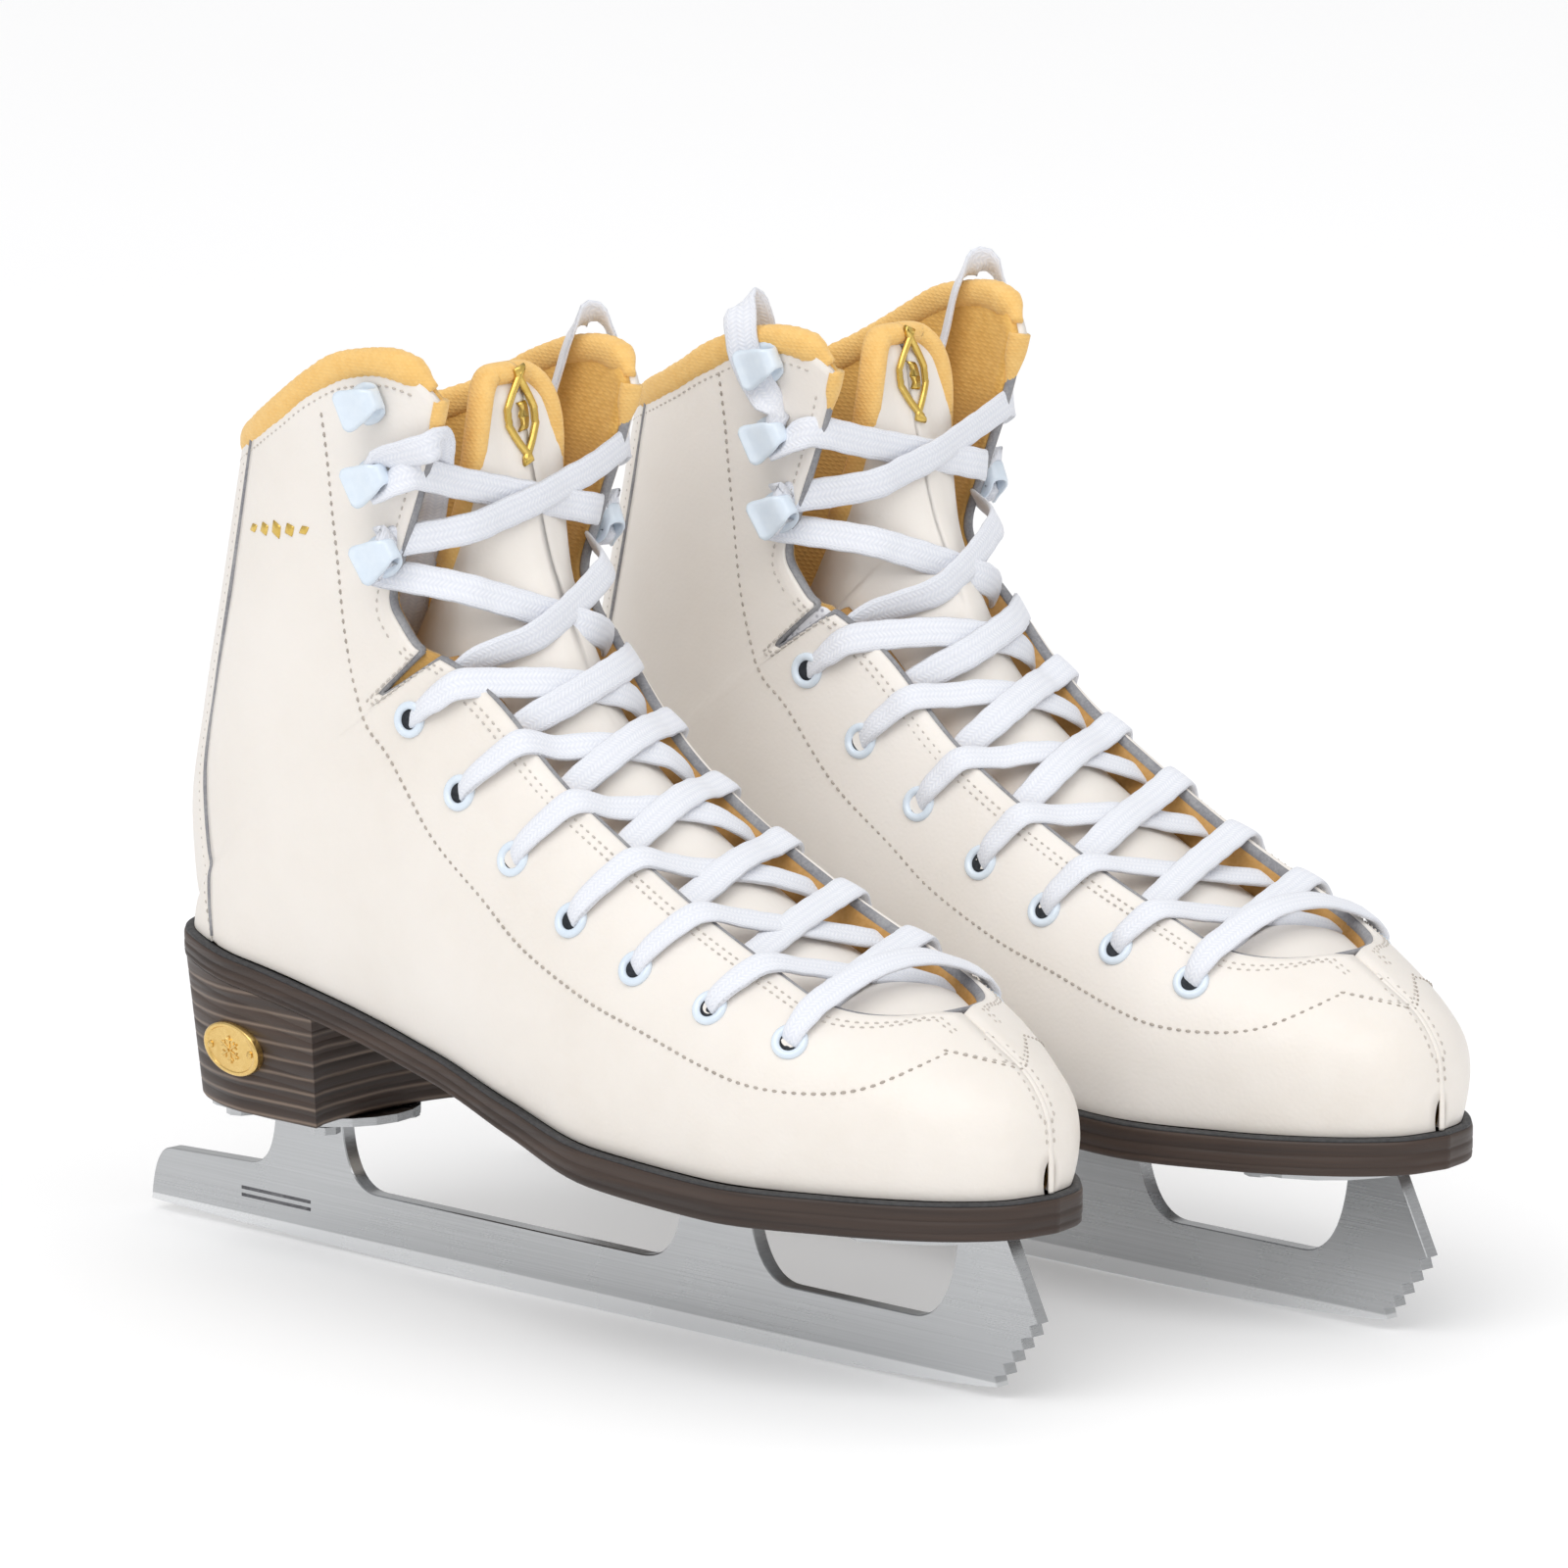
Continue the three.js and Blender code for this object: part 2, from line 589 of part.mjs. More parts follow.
function blade() {
  const X = (x) => x * stretch.x;
  const outline = new THREE.Shape();
  outline.moveTo(X(118), 0);
  outline.lineTo(X(178), 0);
  outline.quadraticCurveTo(X(215), 0, X(247), 2.4);
  const teeth = 5;
  const [low, high] = [[252, 3], [264, 18]];
  for (let i = 0; i < teeth; i++) {
    const [tip, root] = [i / (teeth - 0.5), (i + 0.55) / (teeth - 0.5)];
    outline.lineTo(X(mix(low[0], high[0], tip)), mix(low[1], high[1], tip));
    outline.lineTo(X(mix(low[0], high[0], root)) - 2.2, mix(low[1], high[1], root) + 0.4);
  }
  outline.lineTo(X(264), 19.5);
  outline.lineTo(X(posts.toe[1]), frontPostHeight);
  outline.lineTo(X(posts.toe[0]), frontPostHeight);
  outline.quadraticCurveTo(X(238), runnerHeight, X(226), runnerHeight);
  outline.lineTo(X(188), runnerHeight);
  outline.quadraticCurveTo(X(176), runnerHeight, X(posts.front[1]), frontPostHeight);
  outline.lineTo(X(posts.front[0]), frontPostHeight);
  outline.quadraticCurveTo(X(154), runnerHeight, X(140), runnerHeight);
  outline.lineTo(X(52), runnerHeight);
  outline.quadraticCurveTo(X(41), runnerHeight, X(posts.rear[1]), rearPostHeight);
  outline.lineTo(X(posts.rear[0]), rearPostHeight);
  outline.quadraticCurveTo(X(17), runnerHeight + 1.5, X(8), runnerHeight + 1.5);
  outline.lineTo(X(-20), runnerHeight + 0.5);
  outline.quadraticCurveTo(X(-26), runnerHeight, X(-27), 2.4);
  outline.quadraticCurveTo(X(50), 0, X(118), 0);
  const geometry = new THREE.ExtrudeGeometry(outline, {
    depth: bladeThickness, bevelEnabled: false, curveSegments: 6,
  });
  return geometry.rotateX(Math.PI / 2).translate(0, bladeThickness / 2, 0);
}

const toeScrews = [[172, -13], [172, 13], [226, -17], [226, 17]].map(([x, y]) => [x * stretch.x, y]);
const heelScrews = [[16, -12], [16, 12], [46, -13], [46, 13]].map(([x, y]) => [x * stretch.x, y]);
const toePlateSize = { back: 158, front: 256, backHalf: 19, frontHalf: 25 };
const heelPlateSize = { back: 7, front: 57, backHalf: 17, frontHalf: 19 };

// A mounting plate, narrower at the back, with a round front end and a hole for each screw.
function plate({ back, front, backHalf, frontHalf }, screws, bottom) {
  const [x0, x1] = [back * stretch.x, front * stretch.x];
  const corner = 8;
  const outline = new THREE.Shape();
  outline.moveTo(x0 + corner, -backHalf);
  outline.lineTo(x1 - frontHalf, -frontHalf);
  outline.absellipse(x1 - frontHalf, 0, frontHalf, frontHalf, -Math.PI / 2, Math.PI / 2, false);
  outline.lineTo(x0 + corner, backHalf);
  outline.quadraticCurveTo(x0, backHalf, x0, backHalf - corner);
  outline.lineTo(x0, corner - backHalf);
  outline.quadraticCurveTo(x0, -backHalf, x0 + corner, -backHalf);
  for (const [x, y] of screws)
    outline.holes.push(new THREE.Path().absarc(x, y, screwRadius + clearance, 0, 2 * Math.PI, true));
  const geometry = new THREE.ExtrudeGeometry(outline, {
    depth: plateThickness, bevelEnabled: false, curveSegments: 5,
  });
  return geometry.translate(0, 0, bottom);
}

function screw([x, y], plateBottom) {
  const top = plateBottom + plateThickness + screwDepth;
  const seat = plateBottom - clearance;
  const profile = [
    [0, seat - screwHeadHeight], [screwHeadRadius, seat - screwHeadHeight], [screwHeadRadius, seat],
    [screwRadius, seat], [screwRadius, top], [0, top],
  ].map(([r, z]) => new THREE.Vector2(r, z));
  return new THREE.LatheGeometry(profile, 8).rotateX(Math.PI / 2).translate(x, y, 0);
}

// ---------------------------------------------------------------- assembly
const finish = (color, roughness, metalness) =>
  new THREE.MeshStandardMaterial({ color, roughness, metalness });
const materials = {
  leather: finish(0xece6e0, 0.5, 0),
  lining: finish(0xe9b25c, 0.9, 0),
  binding: finish(0xf4c577, 0.75, 0),
  lace: finish(0xf4f5f8, 0.9, 0),
  hook: finish(0xdfe6ee, 0.35, 0.4),
  sole: finish(0x3f2d25, 0.6, 0),
  steel: finish(0xb9bcbe, 0.3, 1),
  brass: finish(0xc9a24a, 0.35, 1),
};

const toePlateBottom = frontPostHeight + clearance;
const heelPlateBottom = rearPostHeight + clearance;
const pieces = [
  ["blade", blade(), "steel"],
  ["toe_plate", plate(toePlateSize, toeScrews, toePlateBottom), "steel"],
  ["heel_plate", plate(heelPlateSize, heelScrews, heelPlateBottom), "steel"],
  ["outsole", outsole(), "sole"],
  ["heel_block", heelBlock(), "sole"],
  ["heel_badge", heelBadge(), "brass"],
  ["insole", insole(), "lining"],
  ["quarter_outer", quarter(1), "leather"],
  ["quarter_inner", quarter(-1), "leather"],
  ["back_stay", backStay(), "leather"],
  ["lining", lining(), "lining"],
  ["tongue", tongue(), "leather"],
  ["collar_binding", collarBinding(), "binding"],
  ["lace", lace(), "lace"],
];
toeScrews.forEach((place, i) => pieces.push([`toe_plate_screw_${i + 1}`, screw(place, toePlateBottom), "steel"]));
heelScrews.forEach((place, i) => pieces.push([`heel_plate_screw_${i + 1}`, screw(place, heelPlateBottom), "steel"]));
for (const [side, name] of [[1, "outer"], [-1, "inner"]])
  placedHooks.forEach((place, i) => pieces.push([`hook_${name}_${i + 1}`, hook(place, side), "hook"]));

function skate(prefix) {
  const group = new THREE.Group();
  for (const [name, geometry, material] of pieces) {
    const mesh = new THREE.Mesh(geometry, materials[material]);
    mesh.name = `${prefix}_${name}`;
    group.add(mesh);
  }
  return group;
}

const pair = new THREE.Group();
const right = skate("right");
right.position.set(-pairStagger / 2, -pairSpacing / 2, 0);
const left = skate("left");
left.scale.y = -1;
left.position.set(pairStagger / 2, pairSpacing / 2, 0);
pair.add(right, left);

// The origin is on the ice, under the middle of the pair's bounding box.
const middle = new THREE.Box3().setFromObject(pair).getCenter(new THREE.Vector3());
pair.position.set(-middle.x, -middle.y, 0);

export default pair;
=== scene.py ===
# A pair of laced leather figure skates on steel blades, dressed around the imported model.
# Shapes are worked out in millimetres in a skate's own frame, where the back of the heel is at x = 0,
# the outer side of the foot is towards -Y and the ice is at z = 0, and are placed in metres.
import functools
import math
import random

import bmesh
import bpy
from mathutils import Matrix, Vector, noise


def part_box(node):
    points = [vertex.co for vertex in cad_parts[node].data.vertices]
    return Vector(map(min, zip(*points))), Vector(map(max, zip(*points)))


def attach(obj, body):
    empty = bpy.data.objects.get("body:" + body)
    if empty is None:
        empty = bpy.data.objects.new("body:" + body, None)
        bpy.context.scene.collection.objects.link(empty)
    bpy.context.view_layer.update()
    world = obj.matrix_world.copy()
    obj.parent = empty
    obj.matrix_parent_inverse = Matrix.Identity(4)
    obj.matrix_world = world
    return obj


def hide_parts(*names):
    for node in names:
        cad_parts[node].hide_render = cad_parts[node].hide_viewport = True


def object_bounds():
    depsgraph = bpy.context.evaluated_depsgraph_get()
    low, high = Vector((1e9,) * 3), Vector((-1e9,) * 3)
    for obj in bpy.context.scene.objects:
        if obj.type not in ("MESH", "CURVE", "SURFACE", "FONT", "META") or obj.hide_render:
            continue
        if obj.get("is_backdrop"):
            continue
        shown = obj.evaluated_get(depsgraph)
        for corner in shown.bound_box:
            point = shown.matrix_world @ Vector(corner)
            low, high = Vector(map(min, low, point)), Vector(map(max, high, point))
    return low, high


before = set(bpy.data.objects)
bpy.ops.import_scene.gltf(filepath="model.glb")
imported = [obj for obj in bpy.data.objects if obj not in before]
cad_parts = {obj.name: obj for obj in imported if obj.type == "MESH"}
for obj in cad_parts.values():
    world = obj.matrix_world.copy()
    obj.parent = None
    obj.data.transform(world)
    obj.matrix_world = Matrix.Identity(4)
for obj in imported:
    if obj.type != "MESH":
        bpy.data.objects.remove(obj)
cadLow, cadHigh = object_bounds()
bpy.context.scene.view_settings.view_transform = "Standard"

bladeTail = 27  # the blade reaches this far behind the heel
skates = {}
for skateName, turn in (("right", 1), ("left", -1)):
    low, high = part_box(f"{skateName}_blade")
    origin = Vector((low.x + bladeTail / 1000, (low.y + high.y) / 2, low.z))
    skates[skateName] = {"name": skateName, "turn": turn, "origin": origin, "body": f"{skateName}_skate"}


# Camera.
cameraPlan = {"azimuth": 44, "elevation": 10.5, "distance": 2.4, "lens": 236, "raise": 0.004}


def makeCamera():
    plan = cameraPlan
    around, up = math.radians(plan["azimuth"]), math.radians(plan["elevation"])
    back = Vector((math.sin(around) * math.cos(up), -math.cos(around) * math.cos(up), math.sin(up)))
    data = bpy.data.cameras.new("camera")
    data.lens = plan["lens"]
    data.clip_end = 50
    camera = bpy.data.objects.new("camera", data)
    target = (cadLow + cadHigh) / 2 + Vector((0, 0, plan["raise"]))
    camera.location = target + back * plan["distance"]
    camera.rotation_euler = back.to_track_quat("Z", "Y").to_euler()
    bpy.context.scene.collection.objects.link(camera)
    bpy.context.scene.camera = camera


makeCamera()
print("camera placed")

# The last: the form that the upper is pulled over.
sizes = {
    "soleLength": 266, "featherHeight": 48.8, "heelSeat": 36,
    "soleThickness": 8.2, "waistThickness": 6.2, "soleMargin": 2.5,
    "leather": 2.2, "lining": 2.0, "gap": 0.3,
    "throatHalfGap": 24.5, "shaftHalfGap": 33, "throatEnd": 238, "stayHalfDepth": 22,
}
# Each station is a slice of the upper: where it starts on the sole or the back seam (x, z), its half
# widths there (outer, inner), where it ends on the instep line (x, z), its widest half widths (outer,
# inner), how far up it is widest, and how square it is above that. Heights are above the toe's edge.
lastStations = [
    [266, 0.5, 0.5, 0.5, 266.5, 7.5, 1, 1, 0.45, 2],
    [263.5, 0.3, 9.5, 9, 265.5, 16.5, 10.5, 10, 0.42, 2],
    [257.5, 0.1, 17, 16, 260.5, 25, 18.5, 17.5, 0.4, 2],
    [247, -0.1, 24.5, 23.5, 250, 32, 26.5, 25, 0.38, 2],
    [230, -0.3, 32, 31.5, 234, 40.5, 34.5, 33.5, 0.35, 2.1],
    [200, -0.1, 41, 39.5, 209, 50.5, 43.5, 41, 0.32, 2.2],
    [165, 1.5, 41, 37.5, 184, 62.5, 45, 40.5, 0.3, 2.1],
    [132, 6.5, 35.5, 31, 161, 77, 43, 38, 0.32, 2],
    [100, 13.5, 30.5, 27.5, 143, 90, 40, 36.5, 0.36, 2],
    [66, 20.5, 29, 27.5, 132, 102, 37.5, 35.5, 0.42, 2.1],
    [36, 25.5, 29, 28.5, 127, 111.5, 36, 35, 0.44, 2.4],
    [14, 28, 23, 23, 124.5, 118.5, 35, 34.5, 0.46, 2.8],
    [3, 28.5, 12.5, 12.5, 123.5, 123.5, 34.5, 34.5, 0.47, 3.2],
    [0, 29.5, 0.5, 0.5, 123, 127.5, 34, 34, 0.48, 3.5],
    [-3, 49.5, 0.5, 0.5, 122.5, 136.5, 33.5, 33.5, 0.5, 4],
    [2, 75.5, 0.5, 0.5, 122.5, 147.5, 34, 34, 0.5, 4.4],
    [11, 109.5, 0.5, 0.5, 123, 163.5, 35.5, 35.5, 0.5, 4.6],
    [25, 161.5, 0.5, 0.5, 126, 197.5, 38.5, 38.5, 0.5, 4.8],
]
heelStation = 13  # where the sole's edge meets the back seam
topline = [
    [12, 148.5], [25, 149.5], [40, 154.5], [55, 161.8], [68, 169.3],
    [80, 174.4], [92, 176], [99, 174.8], [105, 170], [109, 163], [112, 154],
]
innerDrop = 4  # the inner peak stands lower than the outer one
eyelets = [
    (0.205, 0.72), (0.272, 0.703), (0.338, 0.678), (0.408, 0.66),
    (0.482, 0.672), (0.557, 0.69), (0.646, 0.715),
]
hooks = [(0.816, 0.745), (0.88, 0.715), (0.937, 0.685)]
notch = {"at": 0.705, "halfLength": 0.016, "depth": 0.11}


def mix(a, b, s):
    return a + (b - a) * s


def clamp01(s):
    return min(1, max(0, s))


def smooth(a, b, value):
    s = clamp01((value - a) / (b - a))
    return s * s * (3 - 2 * s)


# A smooth curve through the values that never overshoots them.
def curveThrough(at, values):
    last = len(at) - 1
    step = [b - a for a, b in zip(at, at[1:])]
    rise = [(b - a) / h for a, b, h in zip(values, values[1:], step)]
    slope = [rise[0]]
    for i in range(1, last):
        if rise[i - 1] * rise[i] <= 0:
            slope.append(0)
            continue
        before, after = 2 * step[i] + step[i - 1], step[i] + 2 * step[i - 1]
        slope.append((before + after) / (before / rise[i - 1] + after / rise[i]))
    slope.append(rise[-1])

    def curve(x):
        i = 0
        while i < last - 1 and x >= at[i + 1]:
            i += 1
        h = step[i]
        s = (x - at[i]) / h
        return (
            values[i] * (1 + 2 * s) * (1 - s) ** 2 + h * slope[i] * s * (1 - s) ** 2
            + values[i + 1] * s * s * (3 - 2 * s) + h * slope[i + 1] * s * s * (s - 1)
        )

    return curve


knots = [0]
for a, b in zip(lastStations, lastStations[1:]):
    lowStep = math.hypot(b[0] - a[0], b[1] - a[1])
    highStep = math.hypot(b[4] - a[4], b[5] - a[5])
    knots.append(knots[-1] + (lowStep + highStep + abs(b[2] - a[2])) / 2)
knots = [k / knots[-1] for k in knots]
tHeel = knots[heelStation]
columns = [curveThrough(knots, [station[c] for station in lastStations]) for c in range(10)]
toplineAt = curveThrough([p[0] for p in topline], [p[1] for p in topline])


@functools.lru_cache(maxsize=None)
def stationAt(t, side):
    outer = side > 0
    foot = columns[2 if outer else 3](t)
    base = sizes["featherHeight"]
    return {
        "low": (columns[0](t), base + columns[1](t)),
        "high": (columns[4](t), base + columns[5](t)),
        "foot": foot,
        "widest": max(columns[6 if outer else 7](t), foot * 1.0001),
        "share": columns[8](t),
        "square": columns[9](t),
    }


# The upper's outer surface. t runs from the toe along the sole and up the back seam; v runs from there
# to the instep line; side is 1 on the outer half and -1 on the inner half.
@functools.lru_cache(maxsize=None)


def lastPlace(t, v, side):
    s = stationAt(t, side)
    k = 1 / math.sqrt(1 - min(0.9999, s["foot"] / s["widest"]) ** 2)
    share = s["share"]
    q = (share - v) / (share * k) if v < share else (v - share) / (1 - share)
    power = 2 if v < share else s["square"]
    y = s["widest"] * math.sqrt(max(0, 1 - max(0, q) ** power))
    return (mix(s["low"][0], s["high"][0], v), -side * y, mix(s["low"][1], s["high"][1], v))


def lastPoint(t, v, side):
    return Vector(lastPlace(t, v, side))


@functools.lru_cache(maxsize=None)
def outwardAt(t, v, side):
    dt, dv = 0.002, 0.004
    along = lastPoint(min(1, t + dt), v, side) - lastPoint(max(0, t - dt), v, side)
    across = lastPoint(t, min(1, v + dv), side) - lastPoint(t, max(0, v - dv), side)
    normal = along.cross(across).normalized()
    middle = lastPoint(t, 0.5, side)
    middle.y = 0
    if normal.dot(lastPoint(t, v, side) - middle) < 0:
        normal.negate()
    return tuple(normal)


def outward(t, v, side):
    return Vector(outwardAt(t, v, side))


def skin(t, v, side, depth=0):
    p = lastPoint(t, v, side) - outward(t, v, side) * depth
    if -side * p.y < 0:
        p.y = 0
    p.z = max(p.z, stationAt(min(t, tHeel), side)["low"][1])
    return p


# v of the surface point at a distance y from the middle plane, on the instep.
def crownV(t, y, side):
    s = stationAt(t, side)
    return mix(s["share"], 1, max(0, 1 - (y / s["widest"]) ** 2) ** (1 / s["square"]))


# A place over the throat: across is signed, positive towards the outer side, and lift is above the last.
def overThroat(t, across, lift):
    side = 1 if across >= 0 else -1
    v = crownV(t, abs(across), side)
    return lastPoint(t, v, side) + outward(t, v, side) * lift


def facingGap(t):
    x = stationAt(t, 1)["high"][0]
    end, corner = sizes["throatEnd"], sizes["throatHalfGap"]
    if x >= end:
        return 0
    gap = mix(corner, sizes["shaftHalfGap"], smooth(0.55, 0.8, t))
    return gap * math.sqrt(1 - clamp01((x - end + corner) / corner) ** 2)


# Where a facing's edge runs; the leather alone is cut back at the flex notch.
def facingV(t, side, notched=True):
    edge = crownV(t, facingGap(t), side)
    if not notched:
        return edge
    return edge - notch["depth"] * smooth(1, 0.45, abs(t - notch["at"]) / notch["halfLength"])


def stayV(t):
    s = stationAt(t, 1)
    back = 0 if t < tHeel else s["low"][0]
    return (back + sizes["stayHalfDepth"] - s["low"][0]) / (s["high"][0] - s["low"][0])


def topHeight(x, side):
    x = min(112, max(12, x))
    drop = innerDrop * smooth(25, 80, x) if side < 0 else 0
    return sizes["featherHeight"] + toplineAt(x) - drop


# t where the line of places vAt(t) comes up to the topline, less `below`.
def topT(vAt, side, below):
    a, b = 0.6, 1
    for _ in range(22):
        t = (a + b) / 2
        x, _, z = lastPlace(t, vAt(t), side)
        if z > topHeight(x, side) - below:
            b = t
        else:
            a = t
    return a


# (t, v) of the surface point that stands at x, z in side view.
@functools.lru_cache(maxsize=None)


def onLast(x, z):
    def share(t):
        s = stationAt(t, 1)
        (x0, z0), (x1, z1) = s["low"], s["high"]
        return (x1 - x0) * (z - z0) - (z1 - z0) * (x - x0)

    a, b = 0.02, 1
    for _ in range(26):
        t = (a + b) / 2
        if share(t) > 0:
            a = t
        else:
            b = t
    s = stationAt(a, 1)
    (x0, z0), (x1, z1) = s["low"], s["high"]
    v = ((x - x0) * (x1 - x0) + (z - z0) * (z1 - z0)) / ((x1 - x0) ** 2 + (z1 - z0) ** 2)
    return a, clamp01(v)


# Columns are spread evenly round each slice: an angle of 0 is its widest place.
def angleOf(t, v, side):
    s = stationAt(t, side)
    if v >= s["share"]:
        return math.asin(clamp01((v - s["share"]) / (1 - s["share"])))
    return -math.asin(clamp01((s["share"] - v) / s["share"]))


def vOfAngle(t, angle, side):
    s = stationAt(t, side)
    if angle >= 0:
        return mix(s["share"], 1, math.sin(angle))
    return s["share"] * (1 + math.sin(angle))


# Mesh building.
def place(p, skate):
    o = skate["origin"]
    return (o.x + p[0] / 1000, o.y + skate["turn"] * p[1] / 1000, o.z + p[2] / 1000)


class Body:
    # Points, faces, and a material number and a UV for each of them, gathered piece by piece.
    def __init__(self):
        self.points, self.faces, self.finish, self.marks = [], [], [], []

    def grid(self, rows, cols, pointAt, closeRows=False, closeCols=False, finish=0, markAt=None):
        start = len(self.points)
        for i in range(rows):
            for j in range(cols):
                self.points.append(pointAt(i, j))
                self.marks.append(markAt(i, j) if markAt else (0, 0))
        for i in range(rows if closeRows else rows - 1):
            for j in range(cols if closeCols else cols - 1):
                i2, j2 = (i + 1) % rows, (j + 1) % cols
                quad = [start + a * cols + b for a, b in ((i, j), (i2, j), (i2, j2), (i, j2))]
                self.faces.append(quad)
                self.finish.append(finish)
        return start

    def cap(self, indices, finish=0):
        self.faces.append(list(indices))
        self.finish.append(finish)

    def tube(self, rings, finish=0, marks=None, capped=True):
        count = len(rings[0])
        markAt = (lambda i, j: (marks[i], j / count)) if marks else None
        start = self.grid(len(rings), count, lambda i, j: rings[i][j], False, True, finish, markAt)
        if capped:
            self.cap(range(start, start + count), finish)
            self.cap(range(start + (len(rings) - 1) * count, start + len(rings) * count), finish)

    # A closed sheet: pointAt takes a row, a column and a layer; its rim rounds between the layers.
    def sheet(self, rows, cols, pointAt, finish=0):
        start = len(self.points)
        for layer in range(2):
            for i in range(rows):
                for j in range(cols):
                    self.points.append(pointAt(i, j, layer))
                    self.marks.append((0, 0))

        def at(i, j, layer):
            return start + (layer * rows + i) * cols + j

        for layer in range(2):
            for i in range(rows - 1):
                for j in range(cols - 1):
                    corners = ((i, j), (i + 1, j), (i + 1, j + 1), (i, j + 1))
                    self.faces.append([at(*corner, layer) for corner in corners])
                    self.finish.append(finish)
        rim = [(i, 0) for i in range(rows)] + [(rows - 1, j) for j in range(1, cols)]
        rim += [(i, cols - 1) for i in range(rows - 2, -1, -1)] + [(0, j) for j in range(cols - 2, 0, -1)]
        for (i, j), (k, m) in zip(rim, rim[1:] + rim[:1]):
            self.faces.append([at(i, j, 0), at(k, m, 0), at(k, m, 1), at(i, j, 1)])
            self.finish.append(finish)

    def make(self, name, skate, finishes, slot, stands=(), sharp=None):
        name = f"{skate['name']}_{name}"
        mesh = bpy.data.meshes.new(name)
        mesh.from_pydata([place(p, skate) for p in self.points], [], self.faces)
        marks = mesh.uv_layers.new(name="marks").data
        for loop in mesh.loops:
            marks[loop.index].uv = self.marks[loop.vertex_index]
        for polygon, finish in zip(mesh.polygons, self.finish):
            polygon.material_index = finish
        for finish in finishes:
            mesh.materials.append(finish)
        work = bmesh.new()
        work.from_mesh(mesh)
        bmesh.ops.remove_doubles(work, verts=work.verts, dist=1e-6)
        bmesh.ops.recalc_face_normals(work, faces=work.faces)
        for face in work.faces:
            face.smooth = True
        if sharp:
            for edge in work.edges:
                if len(edge.link_faces) == 2 and edge.calc_face_angle() > math.radians(sharp):
                    edge.smooth = False
        work.to_mesh(mesh)
        work.free()
        piece = bpy.data.objects.new(name, mesh)
        bpy.context.scene.collection.objects.link(piece)
        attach(piece, skate["body"])
        if stands:
            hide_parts(*[f"{skate['name']}_{node}" for node in stands])
        return piece


def ringOf(centre, across, up, halfWidth, halfHeight, count, power=2):
    ring = []
    for k in range(count):
        angle = 2 * math.pi * k / count
        c, s = math.cos(angle), math.sin(angle)
        a = math.copysign(abs(c) ** (2 / power), c) * halfWidth
        b = math.copysign(abs(s) ** (2 / power), s) * halfHeight
        ring.append(centre + across * a + up * b)
    return ring


# Rings along a line of (point, outward direction), each flat against that direction.
def ringsAlong(route, halfWidth, halfHeight, count=8, power=2, closed=False):
    rings = []
    total = len(route)
    for i, (p, out) in enumerate(route):
        before = route[(i - 1) % total if closed else max(0, i - 1)][0]
        after = route[(i + 1) % total if closed else min(total - 1, i + 1)][0]
        along = (after - before).normalized()
        across = out.cross(along).normalized()
        up = along.cross(across).normalized()
        rings.append(ringOf(p, across, up, halfWidth, halfHeight, count, power))
    return rings


def catmull(points, spacing):
    # Points along a smooth line through the given ones, about `spacing` apart; each is a tuple of numbers.
    made = []
    for i in range(len(points) - 1):
        p0, p1 = points[max(0, i - 1)], points[i]
        p2, p3 = points[i + 1], points[min(len(points) - 1, i + 2)]
        gap = math.dist(p1[:3], p2[:3])
        steps = max(1, round(gap / spacing))
        for k in range(steps):
            s = k / steps
            row = []
            for a, b, c, d in zip(p0, p1, p2, p3):
                row.append(0.5 * (2 * b + (c - a) * s + (2 * a - 5 * b + 4 * c - d) * s * s
                                  + (3 * b - a - 3 * c + d) * s ** 3))
            made.append(row)
    made.append(list(points[-1]))
    return made


# Materials.
def newFinish(name, color, roughness, metallic=0):
    made = bpy.data.materials.new(name)
    made.use_nodes = True
    shader = made.node_tree.nodes["Principled BSDF"]
    shader.inputs["Base Color"].default_value = (*color, 1)
    shader.inputs["Roughness"].default_value = roughness
    shader.inputs["Metallic"].default_value = metallic
    return made, made.node_tree, shader


def node(tree, kind, links=None, **settings):
    made = tree.nodes.new("ShaderNode" + kind)
    for key, value in settings.items():
        setattr(made, key, value)
    for key, value in (links or {}).items():
        if isinstance(value, bpy.types.NodeSocket):
            tree.links.new(value, made.inputs[key])
        else:
            made.inputs[key].default_value = value
    return made


def placeOf(tree, scale=(1, 1, 1), kind="Object"):
    where = node(tree, "TexCoord")
    mapped = node(tree, "Mapping", {"Vector": where.outputs[kind]})
    mapped.inputs["Scale"].default_value = scale
    return mapped.outputs["Vector"]


def noiseAt(tree, vector, scale, detail=2, roughness=0.5):
    return node(tree, "TexNoise", {
        "Vector": vector, "Scale": scale, "Detail": detail, "Roughness": roughness}).outputs["Fac"]


def spread(tree, value, low, high, fromLow=0, fromHigh=1):
    return node(tree, "MapRange", {
        "Value": value, "From Min": fromLow, "From Max": fromHigh, "To Min": low, "To Max": high,
    }).outputs["Result"]


def blendColor(tree, share, a, b):
    mixed = node(tree, "Mix", data_type="RGBA")
    tree.links.new(share, mixed.inputs[0])
    for socket, value in ((mixed.inputs[6], a), (mixed.inputs[7], b)):
        if isinstance(value, bpy.types.NodeSocket):
            tree.links.new(value, socket)
        else:
            socket.default_value = (*value, 1)
    return mixed.outputs[2]


def sums(tree, operation, a, b):
    made = node(tree, "Math", operation=operation)
    for socket, value in ((made.inputs[0], a), (made.inputs[1], b)):
        if isinstance(value, bpy.types.NodeSocket):
            tree.links.new(value, socket)
        else:
            socket.default_value = value
    return made.outputs[0]


def bump(tree, shader, height, distance, strength=1, after=None):
    made = node(tree, "Bump", {"Height": height, "Distance": distance, "Strength": strength})
    if after:
        tree.links.new(after.outputs["Normal"], made.inputs["Normal"])
    tree.links.new(made.outputs["Normal"], shader.inputs["Normal"])
    return made


